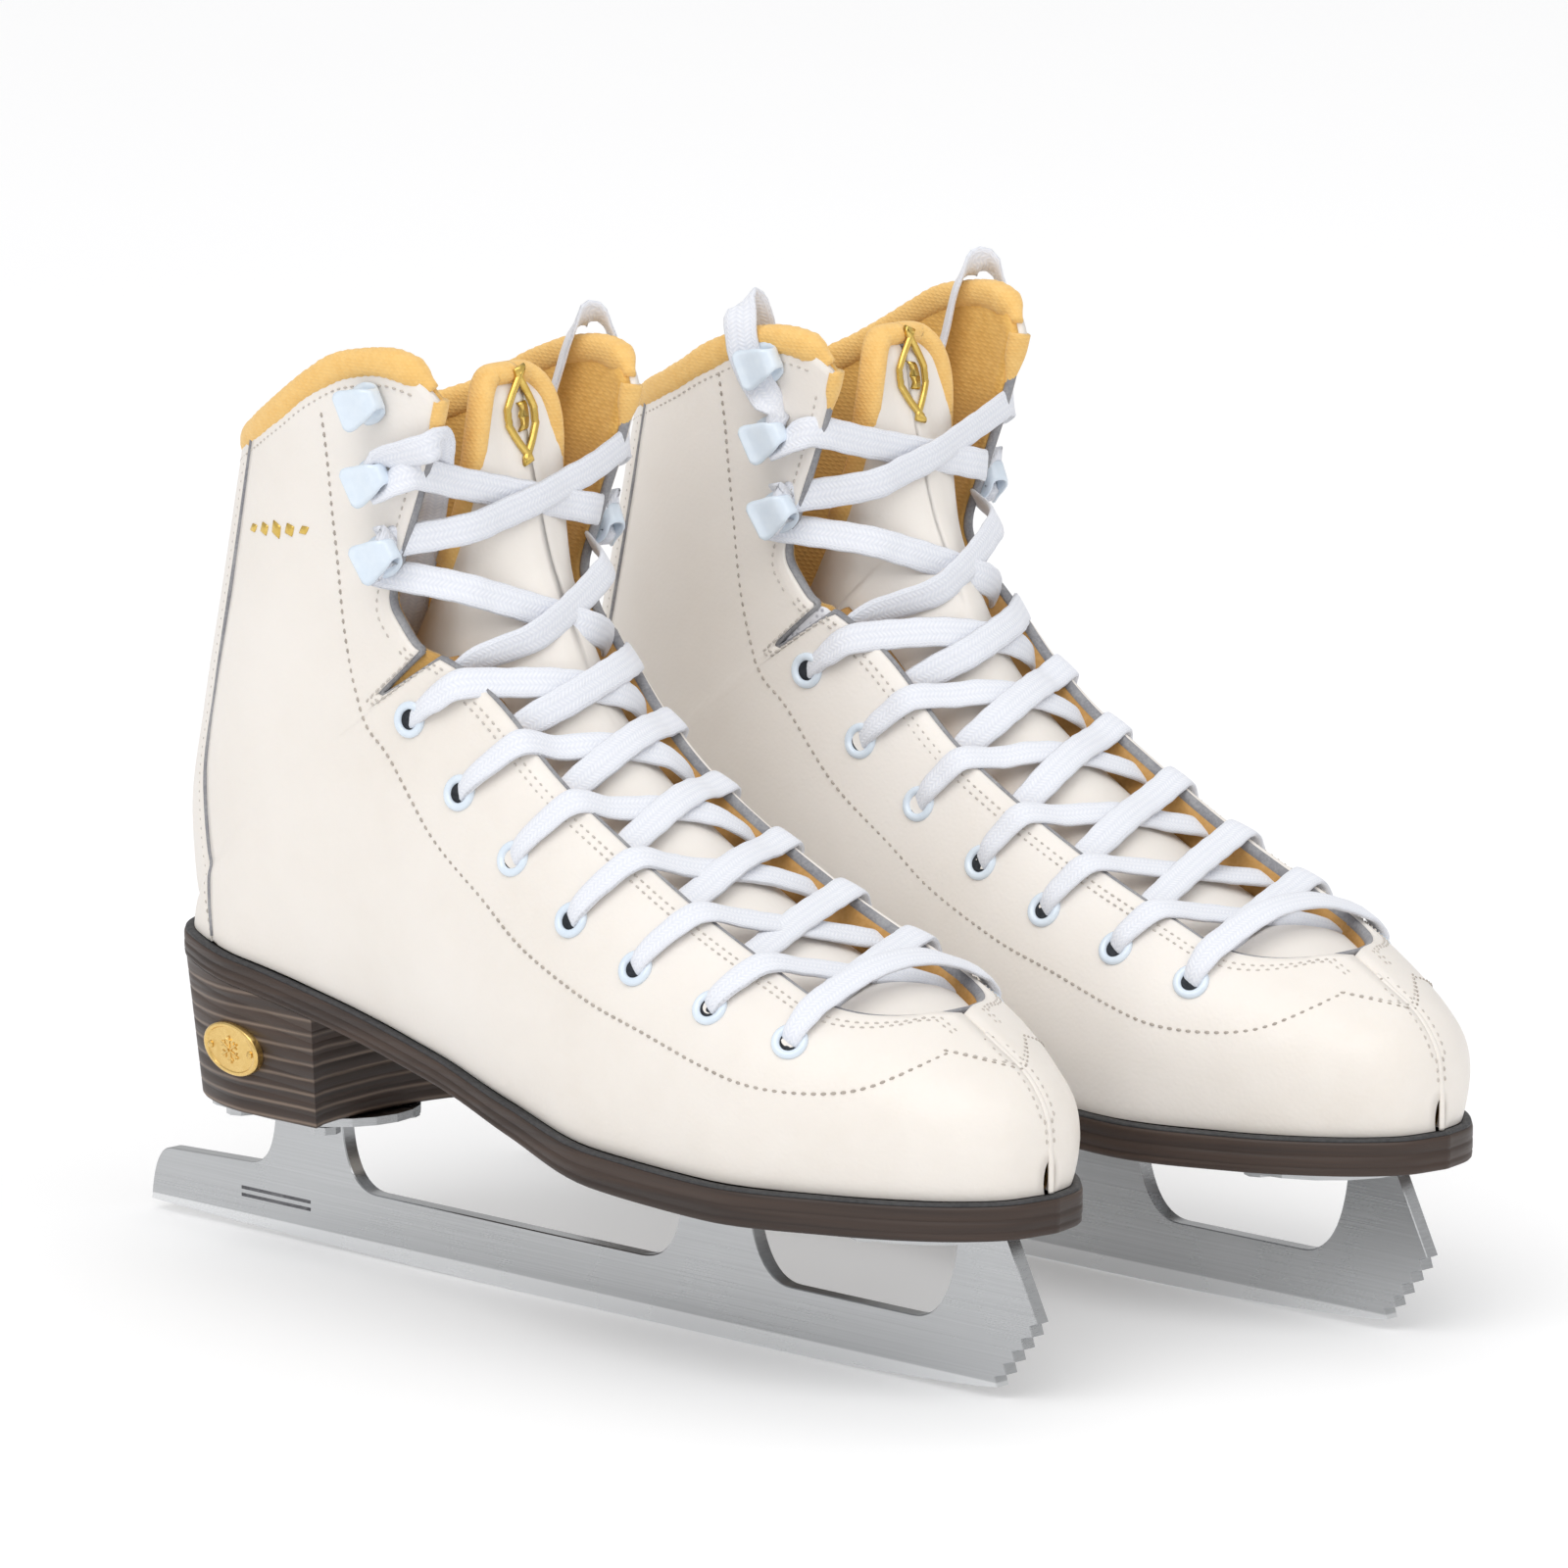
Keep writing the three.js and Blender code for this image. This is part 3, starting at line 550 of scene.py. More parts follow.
leatherPlan = {
    "light": (0.86, 0.815, 0.765), "dark": (0.78, 0.725, 0.66), "roughness": (0.36, 0.5),
    "grain": 1100, "creases": 120, "clouds": 14,
}


def makeLeather(name, plan):
    made, tree, shader = newFinish(name, plan["light"], 0.42)
    where = placeOf(tree)
    clouds = noiseAt(tree, where, plan["clouds"], 3)
    fine = node(tree, "TexVoronoi", {"Vector": where, "Scale": plan["grain"]}, feature="SMOOTH_F1")
    pores = noiseAt(tree, where, plan["grain"] * 1.7, 2)
    creases = noiseAt(tree, where, plan["creases"], 4, 0.6)
    tint = spread(tree, clouds, 0, 1, 0.35, 0.75)
    rubbed = sums(tree, "MULTIPLY", tint, spread(tree, creases, 0.6, 1, 0.3, 0.7))
    tree.links.new(blendColor(tree, rubbed, plan["light"], plan["dark"]), shader.inputs["Base Color"])
    low, high = plan["roughness"]
    tree.links.new(spread(tree, pores, low, high, 0.3, 0.7), shader.inputs["Roughness"])
    soft = bump(tree, shader, creases, 0.0005, 0.18)
    bump(tree, shader, fine.outputs["Distance"], 0.00012, 0.35, soft)
    shader.inputs["Coat Weight"].default_value = 0.12
    shader.inputs["Coat Roughness"].default_value = 0.3
    shader.inputs["Subsurface Weight"].default_value = 0.04
    shader.inputs["Subsurface Radius"].default_value = (0.004, 0.003, 0.002)
    shader.inputs["Subsurface Scale"].default_value = 0.3
    return made


# deep is painted shade: the lining turns this darker gold low in the boot, where the throat is in shadow. It
# fades out between the next two heights, in metres.
liningPlan = {
    "thread": (0.86, 0.53, 0.155), "shade": (0.72, 0.4, 0.09), "rib": 900, "deep": (0.56, 0.32, 0.09),
    "paintedShadeBelow": 0.188, "paintedShadeAbove": 0.2,
}
bindingPlan = {
    "thread": (0.92, 0.6, 0.215), "shade": (0.84, 0.5, 0.15), "rib": 1100, "deep": (0.9, 0.58, 0.2),
    "paintedShadeBelow": -2, "paintedShadeAbove": -1,
}


# Fine knit: two sets of crossing ribs, with a fuzz that scatters light at grazing angles; low in the boot it
# is painted a darker shade.
def makeKnit(name, plan):
    made, tree, shader = newFinish(name, plan["thread"], 0.9)
    where = placeOf(tree)
    one = node(tree, "TexWave", {"Vector": where, "Scale": plan["rib"] / 3, "Distortion": 1.5,
                                 "Detail": 1, "Detail Scale": 6}, bands_direction="Z")
    two = node(tree, "TexWave", {"Vector": where, "Scale": plan["rib"] / 3, "Distortion": 1.5,
                                 "Detail": 1, "Detail Scale": 6}, bands_direction="DIAGONAL")
    weave = sums(tree, "MULTIPLY", one.outputs["Fac"], two.outputs["Fac"])
    fuzz = noiseAt(tree, where, 420, 3)
    share = sums(tree, "MULTIPLY", spread(tree, fuzz, 0.3, 1, 0.3, 0.7), spread(tree, weave, 1, 0.35))
    knit = blendColor(tree, share, plan["thread"], plan["shade"])
    # Painted shade: below the first height the knit takes the darker deep colour, for the shadow inside the
    # throat.
    height = node(tree, "SeparateXYZ", {"Vector": where}).outputs["Z"]
    depth = spread(tree, height, 1, 0, plan["paintedShadeBelow"], plan["paintedShadeAbove"])
    tree.links.new(blendColor(tree, depth, knit, plan["deep"]), shader.inputs["Base Color"])
    tree.links.new(spread(tree, fuzz, 0.8, 0.98), shader.inputs["Roughness"])
    first = bump(tree, shader, weave, 0.0002, 0.5)
    bump(tree, shader, fuzz, 0.0003, 0.25, first)
    shader.inputs["Sheen Weight"].default_value = 0.35
    shader.inputs["Sheen Roughness"].default_value = 0.5
    shader.inputs["Sheen Tint"].default_value = (1, 0.86, 0.6, 1)
    return made


# gap is painted shade: the bluish grey laid between the herringbone picks, for the shadow in the weave.
lacePlan = {"thread": (0.89, 0.9, 0.94), "gap": (0.66, 0.69, 0.77), "pick": 1.05, "ends": 9}


# Flat woven tape: herringbone picks run along it, read from marks laid in millimetres.
def makeLaceFinish(name, plan):
    made, tree, shader = newFinish(name, plan["thread"], 0.85)
    marks = node(tree, "TexCoord").outputs["UV"]
    split = node(tree, "SeparateXYZ", {"Vector": marks})
    lengthwise = sums(tree, "DIVIDE", split.outputs["X"], plan["pick"])
    crosswise = sums(tree, "MULTIPLY", split.outputs["Y"], plan["ends"] * 2)
    zigzag = sums(tree, "PINGPONG", crosswise, 1)
    picks = sums(tree, "PINGPONG", sums(tree, "ADD", lengthwise, zigzag), 0.5)
    height = spread(tree, picks, 0, 1, 0, 0.5)
    rows = spread(tree, sums(tree, "PINGPONG", crosswise, 0.5), 0, 1, 0, 0.5)
    weave = sums(tree, "MULTIPLY", spread(tree, height, 0.25, 1), spread(tree, rows, 0.4, 1))
    fuzz = noiseAt(tree, placeOf(tree), 1600, 2)
    # Painted shade: the low parts of the weave take the bluish gap colour.
    shade = sums(tree, "MULTIPLY", spread(tree, weave, 1, 0), spread(tree, fuzz, 0.5, 1))
    tree.links.new(blendColor(tree, shade, plan["thread"], plan["gap"]), shader.inputs["Base Color"])
    tree.links.new(spread(tree, fuzz, 0.75, 0.95), shader.inputs["Roughness"])
    first = bump(tree, shader, weave, 0.00022, 0.6)
    bump(tree, shader, fuzz, 0.00012, 0.3, first)
    shader.inputs["Sheen Weight"].default_value = 0.2
    shader.inputs["Subsurface Weight"].default_value = 0.08
    shader.inputs["Subsurface Radius"].default_value = (0.002, 0.002, 0.002)
    return made


solePlan = {"dark": (0.024, 0.013, 0.009), "light": (0.06, 0.035, 0.024), "line": (0.22, 0.16, 0.12)}


# Stacked leather: long horizontal fibres; the lifts of the heel show as paler lines.
def makeSole(name, plan, lines):
    made, tree, shader = newFinish(name, plan["dark"], 0.5)
    fibre = noiseAt(tree, placeOf(tree, (22, 22, 900)), 1, 5, 0.65)
    coarse = noiseAt(tree, placeOf(tree, (8, 8, 260)), 1, 2)
    share = spread(tree, sums(tree, "ADD", fibre, coarse), 0, 1, 0.75, 1.35)
    body = blendColor(tree, share, plan["dark"], plan["light"])
    if lines:
        wobble = noiseAt(tree, placeOf(tree), 60, 2)
        height = node(tree, "SeparateXYZ", {"Vector": placeOf(tree)}).outputs["Z"]
        shifted = sums(tree, "ADD", height, spread(tree, wobble, -0.0003, 0.0003))
        lifts = sums(tree, "PINGPONG", sums(tree, "DIVIDE", shifted, lines), 0.5)
        edge = spread(tree, lifts, 1, 0, 0.0, 0.16)
        broken = sums(tree, "MULTIPLY", edge, spread(tree, fibre, 0.45, 1, 0.3, 0.6))
        body = blendColor(tree, broken, body, plan["line"])
    tree.links.new(body, shader.inputs["Base Color"])
    tree.links.new(spread(tree, fibre, 0.38, 0.62, 0.3, 0.7), shader.inputs["Roughness"])
    bump(tree, shader, fibre, 0.0003, 0.35)
    return made


steelPlan = {
    "satin": (0.5, 0.51, 0.52), "ground": (0.78, 0.79, 0.8),
    "roughness": 0.27, "groundHeight": 0.0042,
}


# Satin plated steel with long polishing marks, and a brighter ground strip along the edge.
def makeSteel(name, plan, strip):
    made, tree, shader = newFinish(name, plan["satin"], plan["roughness"], 1)
    streak = noiseAt(tree, placeOf(tree, (9, 300, 2200)), 1, 3, 0.6)
    smear = noiseAt(tree, placeOf(tree), 30, 3)
    tone = spread(tree, streak, 0, 1, 0.3, 0.7)
    body = blendColor(tree, tone, [c * 0.93 for c in plan["satin"]], [c * 1.07 for c in plan["satin"]])
    rough = sums(tree, "ADD", spread(tree, streak, -0.05, 0.05), spread(tree, smear, 0.22, 0.34, 0.3, 0.7))
    if strip:
        height = node(tree, "SeparateXYZ", {"Vector": placeOf(tree)}).outputs["Z"]
        share = spread(tree, height, 1, 0, plan["groundHeight"] - 0.0004, plan["groundHeight"])
        body = blendColor(tree, share, body, plan["ground"])
    tree.links.new(body, shader.inputs["Base Color"])
    tree.links.new(rough, shader.inputs["Roughness"])
    bump(tree, shader, streak, 0.00004, 0.25)
    return made


# A plain finish whose colour, gloss and surface wander a little.
def makeWorn(name, color, other, roughness, metallic=0, scale=300, depth=0.0001, strength=0.2, coat=0):
    made, tree, shader = newFinish(name, color, roughness, metallic)
    where = placeOf(tree)
    fine = noiseAt(tree, where, scale, 4, 0.6)
    broad = noiseAt(tree, where, scale / 9, 2)
    share = spread(tree, sums(tree, "ADD", fine, broad), 0, 1, 0.7, 1.3)
    tree.links.new(blendColor(tree, share, color, other), shader.inputs["Base Color"])
    uneven = spread(tree, fine, roughness * 0.8, roughness * 1.25, 0.3, 0.7)
    tree.links.new(uneven, shader.inputs["Roughness"])
    bump(tree, shader, fine, depth, strength)
    shader.inputs["Coat Weight"].default_value = coat
    shader.inputs["Coat Roughness"].default_value = 0.12
    return made


# Open white mesh behind the flex notch; its open cells are painted a dark bluish grey, as shade seen through
# them.
def makeMeshCloth(name):
    made, tree, shader = newFinish(name, (0.8, 0.8, 0.84), 0.85)
    cells = node(tree, "TexVoronoi", {"Vector": placeOf(tree), "Scale": 620, "Randomness": 0.25})
    # Painted shade: the middle of each cell takes the dark grey.
    hole = spread(tree, cells.outputs["Distance"], 1, 0, 0.15, 0.4)
    mixed = blendColor(tree, hole, (0.84, 0.84, 0.88), (0.38, 0.38, 0.43))
    tree.links.new(mixed, shader.inputs["Base Color"])
    bump(tree, shader, cells.outputs["Distance"], 0.0003, 0.6)
    return made


leather = makeLeather("white leather", leatherPlan)
liningKnit = makeKnit("golden lining knit", liningPlan)
bindingKnit = makeKnit("collar binding knit", bindingPlan)
laceTape = makeLaceFinish("white lace tape", lacePlan)
soleLeather = makeSole("dark stacked sole", solePlan, 0)
heelLeather = makeSole("dark stacked heel", solePlan, 0.0037)
bladeSteel = makeSteel("satin blade steel", steelPlan, True)
plateSteel = makeSteel("plate steel", steelPlan, False)
brass = makeWorn("brass", (0.83, 0.6, 0.24), (0.72, 0.48, 0.16), 0.28, 1, 500, 0.00005)
goldFoil = makeWorn("gold foil", (0.78, 0.56, 0.16), (0.66, 0.44, 0.1), 0.3, 1, 700, 0.00008)
enamel = makeWorn("white enamel", (0.74, 0.82, 0.9), (0.66, 0.75, 0.85), 0.22, 0, 400, 0.00004, 0.15, 0.5)
felt = makeWorn("grey felt", (0.36, 0.36, 0.37), (0.22, 0.22, 0.24), 0.95, 0, 1500, 0.0003, 0.6)
tanLeather = makeWorn(
    "tan facing lining", (0.56, 0.31, 0.095), (0.46, 0.24, 0.065), 0.7, 0, 900, 0.00015, 0.4
)
weltFinish = makeWorn("dark grey welt", (0.05, 0.05, 0.052), (0.03, 0.03, 0.032), 0.6, 0, 900)
threadFinish = makeWorn("seam thread", (0.5, 0.45, 0.4), (0.36, 0.32, 0.28), 0.8, 0, 1800, 0.0001)
# Near black: painted shade for the inside of the eyelets' holes.
holeShadeFinish = makeWorn("eyelet hole painted shade", (0.03, 0.035, 0.045), (0.015, 0.017, 0.02), 0.9, 0, 900)
meshCloth = makeMeshCloth("white mesh cloth")
insoleCloth = makeKnit("insole cloth", {**liningPlan, "paintedShadeBelow": -2, "paintedShadeAbove": -1})
etched = makeWorn("etched steel", (0.2, 0.2, 0.21), (0.13, 0.13, 0.14), 0.5, 1, 900)
print("finishes mixed")

# Laces.
tonguePlan = {
    "start": 0.135, "finish": 0.892, "halfWidth": 34, "lean": 15, "rows": 90, "columns": 41,
    "leather": 3.4, "back": 1.5, "corner": 15, "puff": 0.7, "crown": 11.5, "side": 11,
    "edgeDepth": 2.4, "edgeWidth": 2.6, "edgeHeight": 3.3,
}


def tongueHalf(t):
    plan = tonguePlan
    return plan["halfWidth"] * mix(0.5, 1, smooth(plan["start"], 0.3, t)) * mix(1, 0.8, smooth(0.7, 0.95, t))


# share runs across the tongue from -1 to 1 and depth is under its front face.
def tonguePoint(t, share, depth):
    plan = tonguePlan
    across = share * tongueHalf(t)
    gap = max(facingGap(t), 0.1)
    deep = sizes["leather"] + sizes["lining"] + 4 * sizes["gap"]
    beside = smooth(gap * 0.3, gap * 1.1, abs(across))
    lean = plan["lean"] * smooth(0.6, 0.95, t) * mix(1, 0.5, beside)
    crown = mix(deep, mix(plan["crown"], plan["side"], beside), smooth(0.19, 0.25, t))
    return overThroat(t, across, -(crown + lean + depth))


lacePlan.update({
    "width": 7.5, "thickness": 1.4, "holeWidth": 5, "step": 1.6, "ring": 12, "seed": 7,
    "lower": 0.2, "upper": 1.7, "overEdge": 1.1, "under": -4.9,
    "hookReach": 4.2, "hookLift": 2.9, "hookInset": 2.2,
    # round a hook's stem: degrees, width, and how flat the lace lies to the leather
    "hookTurn": [(-70, 6.4, 0.45), (-30, 4.4, 0.95), (0, 4, 1), (30, 4.4, 0.95), (70, 6.4, 0.45)],
})
# Where the two ends of each lace go after the second pair of hooks: side, then places in the skate's own
# millimetres, each with its width. They end low in the boot, behind the tongue.
laceEnds = {
    ("right", 1): [
        (105.5, -35, 203.5, 7.5), (105, -31.5, 205, 7.5), (101, -27.5, 201, 7.5), (92, -22, 186, 8),
        (80, -16, 164, 8), (72, -13, 142, 8), (66, -11, 118, 8), (66, -9, 96, 8), (78, -6, 83.5, 8),
    ],
    ("right", -1): [(95, 38.5, 206, 8), (91, 40.5, 214, 8), (88, 40, 222.5, 8), (86, 35.5, 225.5, 8),
                    (84.5, 31.5, 221, 8), (82, 29, 210, 8), (79, 25.5, 194, 8), (74, 21, 172, 8),
                    (68, 16, 146, 8), (62, 13, 118, 8), (60, 10, 96, 8), (72, 6, 83.5, 8)],
    ("left", -1): [(88, 39, 206, 8), (84, 40.5, 214, 8), (82, 40, 222.5, 8), (80.5, 36, 226, 8),
                   (79.5, 31.5, 221, 8), (78, 28, 208, 8), (75, 24, 190, 8), (70, 20, 166, 8),
                   (66, 16, 142, 8), (62, 13, 118, 8), (60, 10, 96, 8), (72, 6, 83.5, 8)],
    ("left", 1): [(96, -40, 206, 8), (92, -42, 215, 8), (89, -41.5, 225, 8), (87, -36.5, 229, 8),
                  (85, -31.5, 224, 8), (83, -28.5, 210, 8), (79, -24.5, 192, 8), (73, -20, 168, 8),
                  (68, -16, 142, 8), (63, -12, 118, 8), (64, -10, 96, 8), (76, -7, 83.5, 8)],
}


def anchorAt(index, side):
    t, v = (eyelets + hooks)[index]
    return t, side * abs(lastPoint(t, v, side).y)


# One stop on a lace: where it is, how wide it is there, and the direction that its width lies in.
def laceStop(t, across, lift, width, flat=None):
    p = overThroat(t, across, lift)
    return p, width, flat


# From one side's anchor to the next one up on the other side.
def strand(index, side, top):
    plan = lacePlan
    t0, c0 = anchorAt(index, side)
    t1, c1 = anchorAt(index + 1, -side)
    fromHook, toHook = index >= len(eyelets), index + 1 >= len(eyelets)
    if fromHook:
        t0, c0 = t0 + 0.011, c0 - side * 1.6
    if toHook:
        t1, c1 = t1 - 0.011, c1 + side * 1.6
    start, finish = overThroat(t0, c0, 0), overThroat(t1, c1, 0)
    normal = outward(mix(t0, t1, 0.5), 1, 1)
    flat = (finish - start).normalized().cross(normal).normalized()
    full, hole = plan["width"], plan["holeWidth"]

    def stop(across, lift, width):
        share = (across - c0) / (c1 - c0)
        t = mix(t0, t1, share)
        return laceStop(t, across, lift, width, flat)

    gap0, gap1 = facingGap(t0), facingGap(t1)
    rise = plan["upper"] if top else plan["lower"]
    if fromHook:
        stops = [stop(side * (gap0 + 0.6), plan["overEdge"], full)]
    else:
        stops = [
            stop(side * (gap0 + 3.5), plan["under"], mix(hole, full, 0.5)),
            stop(side * (gap0 - 0.5), plan["under"] - 0.4, full * 0.94),
        ]
    arrive = stop(-side * (gap1 + 0.6), plan["overEdge"], full)
    leave = stops[-1][0]
    for share in (0.2, 0.35, 0.5, 0.65, 0.8):  # pulled straight from edge to edge, and over the tongue
        p = leave.lerp(arrive[0], share)
        across = -p.y
        t = mix(t0, t1, (across - c0) / (c1 - c0))
        for _ in range(5):  # the tongue's place at the same height on the leg
            under = tonguePoint(t, across / tongueHalf(t), -tonguePlan["puff"] - 1.5)
            above = tonguePoint(t + 0.01, across / tongueHalf(t), -tonguePlan["puff"] - 1.5)
            climb = above - under
            t = min(0.9, max(0.15, t - 0.01 * (under - p).dot(climb) / climb.length_squared))
        p += normal * (max(0, (under - p).dot(normal)) + rise * math.sin(math.pi * share))
        stops.append((p, full, flat))
    stops.append(arrive)
    if not toHook:
        far = mix(abs(c1), gap1, 0.42)
        stops.append(stop(-side * far, plan["overEdge"] + 0.25, full * 0.9))
        stops.append(stop(c1 + side * 1.3, 0.9, hole * 1.12))
    return stops


# Through an eyelet, from outside to inside.
def throughHole(index, side, flat):
    t, c = anchorAt(index, side)
    hole = lacePlan["holeWidth"]
    return [laceStop(t, c, lift, hole, flat) for lift in (-1.2, lacePlan["under"] + 0.6)]


# Round a hook's stem, under its plate and back towards the throat.
def roundHook(index, side):
    t, v = (eyelets + hooks)[index]
    normal = outward(t, v, side)
    back = lastPoint(t, v - 0.02, side) - lastPoint(t, v + 0.02, side)
    back = (back - normal * back.dot(normal)).normalized()
    up = lastPoint(t + 0.01, v, side) - lastPoint(t - 0.01, v, side)
    up = (up - normal * up.dot(normal)).normalized()
    centre = lastPoint(t, v, side) - back * lacePlan["hookInset"] + normal * lacePlan["hookLift"]
    reach = lacePlan["hookReach"]
    stops = []
    for angle, width, tilt in lacePlan["hookTurn"]:
        a = math.radians(angle)
        p = centre + back * (reach * math.cos(a)) + up * (reach * math.sin(a))
        radial = (back * math.cos(a) + up * math.sin(a)).normalized()
        flat = (normal * tilt + radial * (1 - tilt)).normalized()
        stops.append((p, width, flat))
    return stops


def laceHalf(skate, side, near):
    stops = []
    last = len(eyelets) + 1  # the second hook is the last one used
    t, c = anchorAt(0, side)
    bar = (overThroat(t, -side * 10, 0) - overThroat(t, side * 10, 0)).normalized()
    flat = bar.cross(outward(t, 1, 1)).normalized()
    gap = facingGap(t)
    width, hole = lacePlan["width"], lacePlan["holeWidth"]
    stops.append(laceStop(t, side * gap * 0.35, 1.2, width, flat))
    stops.append(laceStop(t, side * (gap + 0.8), 1.5, width, flat))
    stops.append(laceStop(t, mix(c, side * gap, 0.45), 1.5, width * 0.9, flat))
    stops.append(laceStop(t, c - side * 1.3, 0.9, hole * 1.12, flat))
    for index in range(last):
        if index < len(eyelets):
            stops += throughHole(index, side, flat)
        crossing = strand(index, side, side == near)
        flat = crossing[0][2]
        stops += crossing
        side = -side
        if index + 1 >= len(eyelets):
            stops += roundHook(index + 1, side)
    for x, y, z, w in laceEnds[(skate["name"], side)]:
        stops.append((Vector((x, y, z)), w, None))
    return stops


def laceLine(skate):
    near = 1 if skate["name"] == "right" else -1
    stops = laceHalf(skate, 1, near)[::-1] + laceHalf(skate, -1, near)
    flats = []
    previous = None
    for k, (p, width, flat) in enumerate(stops):
        if flat is None:
            before, after = stops[max(0, k - 1)][0], stops[min(len(stops) - 1, k + 1)][0]
            along = (after - before).normalized()
            inside = Vector((60, 0, p.z)) - p
            inside.z = 0
            flat = along.cross(inside).normalized()
        if previous and flat.dot(previous) < 0:
            flat = -flat
        previous = flat
        flats.append(flat)
    rows = [(*p, width, *flat) for (p, width, _), flat in zip(stops, flats)]
    return catmull(rows, lacePlan["step"])


def makeLace(skate):
    plan = lacePlan
    draw = random.Random(plan["seed"] + (skate["name"] == "left"))
    rows = laceLine(skate)
    centres = [Vector(row[:3]) for row in rows]
    body = Body()
    rings, marks = [], []
    run, roll = 0, 0
    for i, row in enumerate(rows):
        p, width, flat = centres[i], row[3], Vector(row[4:7])
        along = (centres[min(len(rows) - 1, i + 1)] - centres[max(0, i - 1)]).normalized()
        flat = (flat - along * flat.dot(along)).normalized()
        up = flat.cross(along).normalized()
        roll += draw.uniform(-0.02, 0.02) - roll * 0.06
        across = (flat * math.cos(roll) + up * math.sin(roll)).normalized()
        up = across.cross(along).normalized()
        bunched = clamp01((plan["width"] - width) / (plan["width"] - 4))
        thick = plan["thickness"] * mix(1, 1.75, bunched)
        ripple = 1 + 0.02 * math.sin(run * 0.9)
        rings.append(ringOf(p, across, up, width / 2 * ripple, thick / 2, plan["ring"], 3.2))
        marks.append(run)
        run += (centres[i + 1] - p).length if i + 1 < len(rows) else 0
    body.tube(rings, 0, marks)
    piece = body.make("lace", skate, [laceTape], "lace", ["lace"])
    line = [Vector(place(p, skate)) for p in centres]
    return piece, line, run


# A tip's stations are (share of its length, share of its half sizes).
tipPlan = {
    "length": 19, "halfWidth": 1.9, "halfHeight": 1.5,
    "stations": [(-0.2, 0.75), (-0.19, 0.95), (0, 1), (0.6, 0.9), (0.74, 0.8), (0.79, 0.5), (0.8, 0.1)],
}


# Moulded tips at the lace's two ends.
def makeLaceTips(skate, line):
    o, turn = skate["origin"], skate["turn"]

    def local(p):
        return Vector(((p.x - o.x) * 1000, (p.y - o.y) * turn * 1000, (p.z - o.z) * 1000))

    tips = []
    for name, ends in (("first", line[:3]), ("second", line[-1:-4:-1])):
        end, inner = local(ends[0]), local(ends[2])
        out = (end - inner).normalized()
        across = out.cross(Vector((0, 0, 1))).normalized()
        up = across.cross(out)
        rings = []
        for s, size in tipPlan["stations"]:
            p = end + out * (tipPlan["length"] * s)
            wide, high = tipPlan["halfWidth"] * size, tipPlan["halfHeight"] * size
            rings.append(ringOf(p, across, up, wide, high, 14))
        body = Body()
        body.tube(rings)
        tips.append(body.make(f"lace_tip_{name}", skate, [enamel], "lace"))
    return tips


for skate in skates.values():
    lace, laceRoute, laceLength = makeLace(skate)
    laceTips = makeLaceTips(skate, laceRoute)
    tuple(laceRoute[0])
    [tuple(p) for p in laceRoute]
    print(skate["name"], "lace laid,", round(laceLength), "mm")

# The upper.
upperPlan = {
    "rows": 136, "columns": 32, "trimFrom": 0.6, "underBinding": 3.4, "edge": 0.007, "edgeRound": 0.6,
    "swell": 0.28, "stayColumns": 14, "liningColumns": 26, "liningRows": 96,
}


# Even shares from 0 to 1 with one more close to each end, so that a cut edge rounds tightly.
def edgedShares(count, edge):
    inner = [mix(edge, 1 - edge, i / (count - 3)) for i in range(count - 2)]
    return [0, *inner, 1]


# t for a row that runs evenly from the toe and is squeezed under the topline at the top.
def rowsUnder(vAt, side, rows, start=0.003):
    top = topT(vAt, side, upperPlan["underBinding"])
    trim = upperPlan["trimFrom"]
    made = []
    for i in range(rows):
        t = mix(start, 1, i / (rows - 1))
        made.append(t if t < trim else mix(trim, top, (t - trim) / (1 - trim)))
    return made


def swellAt(p, amount):
    return amount * noise.noise(Vector(p) * 0.035) + 0.3 * amount * noise.noise(Vector(p) * 0.12)


def makeQuarter(skate, side, name):
    plan = upperPlan
    shares = edgedShares(plan["columns"], plan["edge"])
    table = []
    for s in shares:
        def vAt(t, s=s):
            first, last = max(stayV(t), 0) if t > 0.3 else 0, facingV(t, side)
            return vOfAngle(t, mix(angleOf(t, first, side), angleOf(t, last, side), s), side)
        table.append([(t, vAt(t)) for t in rowsUnder(vAt, side, plan["rows"])])

    def pointAt(i, j, layer):
        t, v = table[j][i]
        rim = j in (0, len(shares) - 1)
        depth = sizes["leather"] * layer + (plan["edgeRound"] * (1 - 2 * layer) if rim else 0)
        p = skin(t, v, side, depth - swellAt(lastPoint(t, v, side), plan["swell"]) * (not layer))
        p.y = -side * max(0.12, -side * p.y)
        return p

    body = Body()
    body.sheet(plan["rows"], len(shares), pointAt)
    return body.make(name, skate, [leather], "leather", [name])


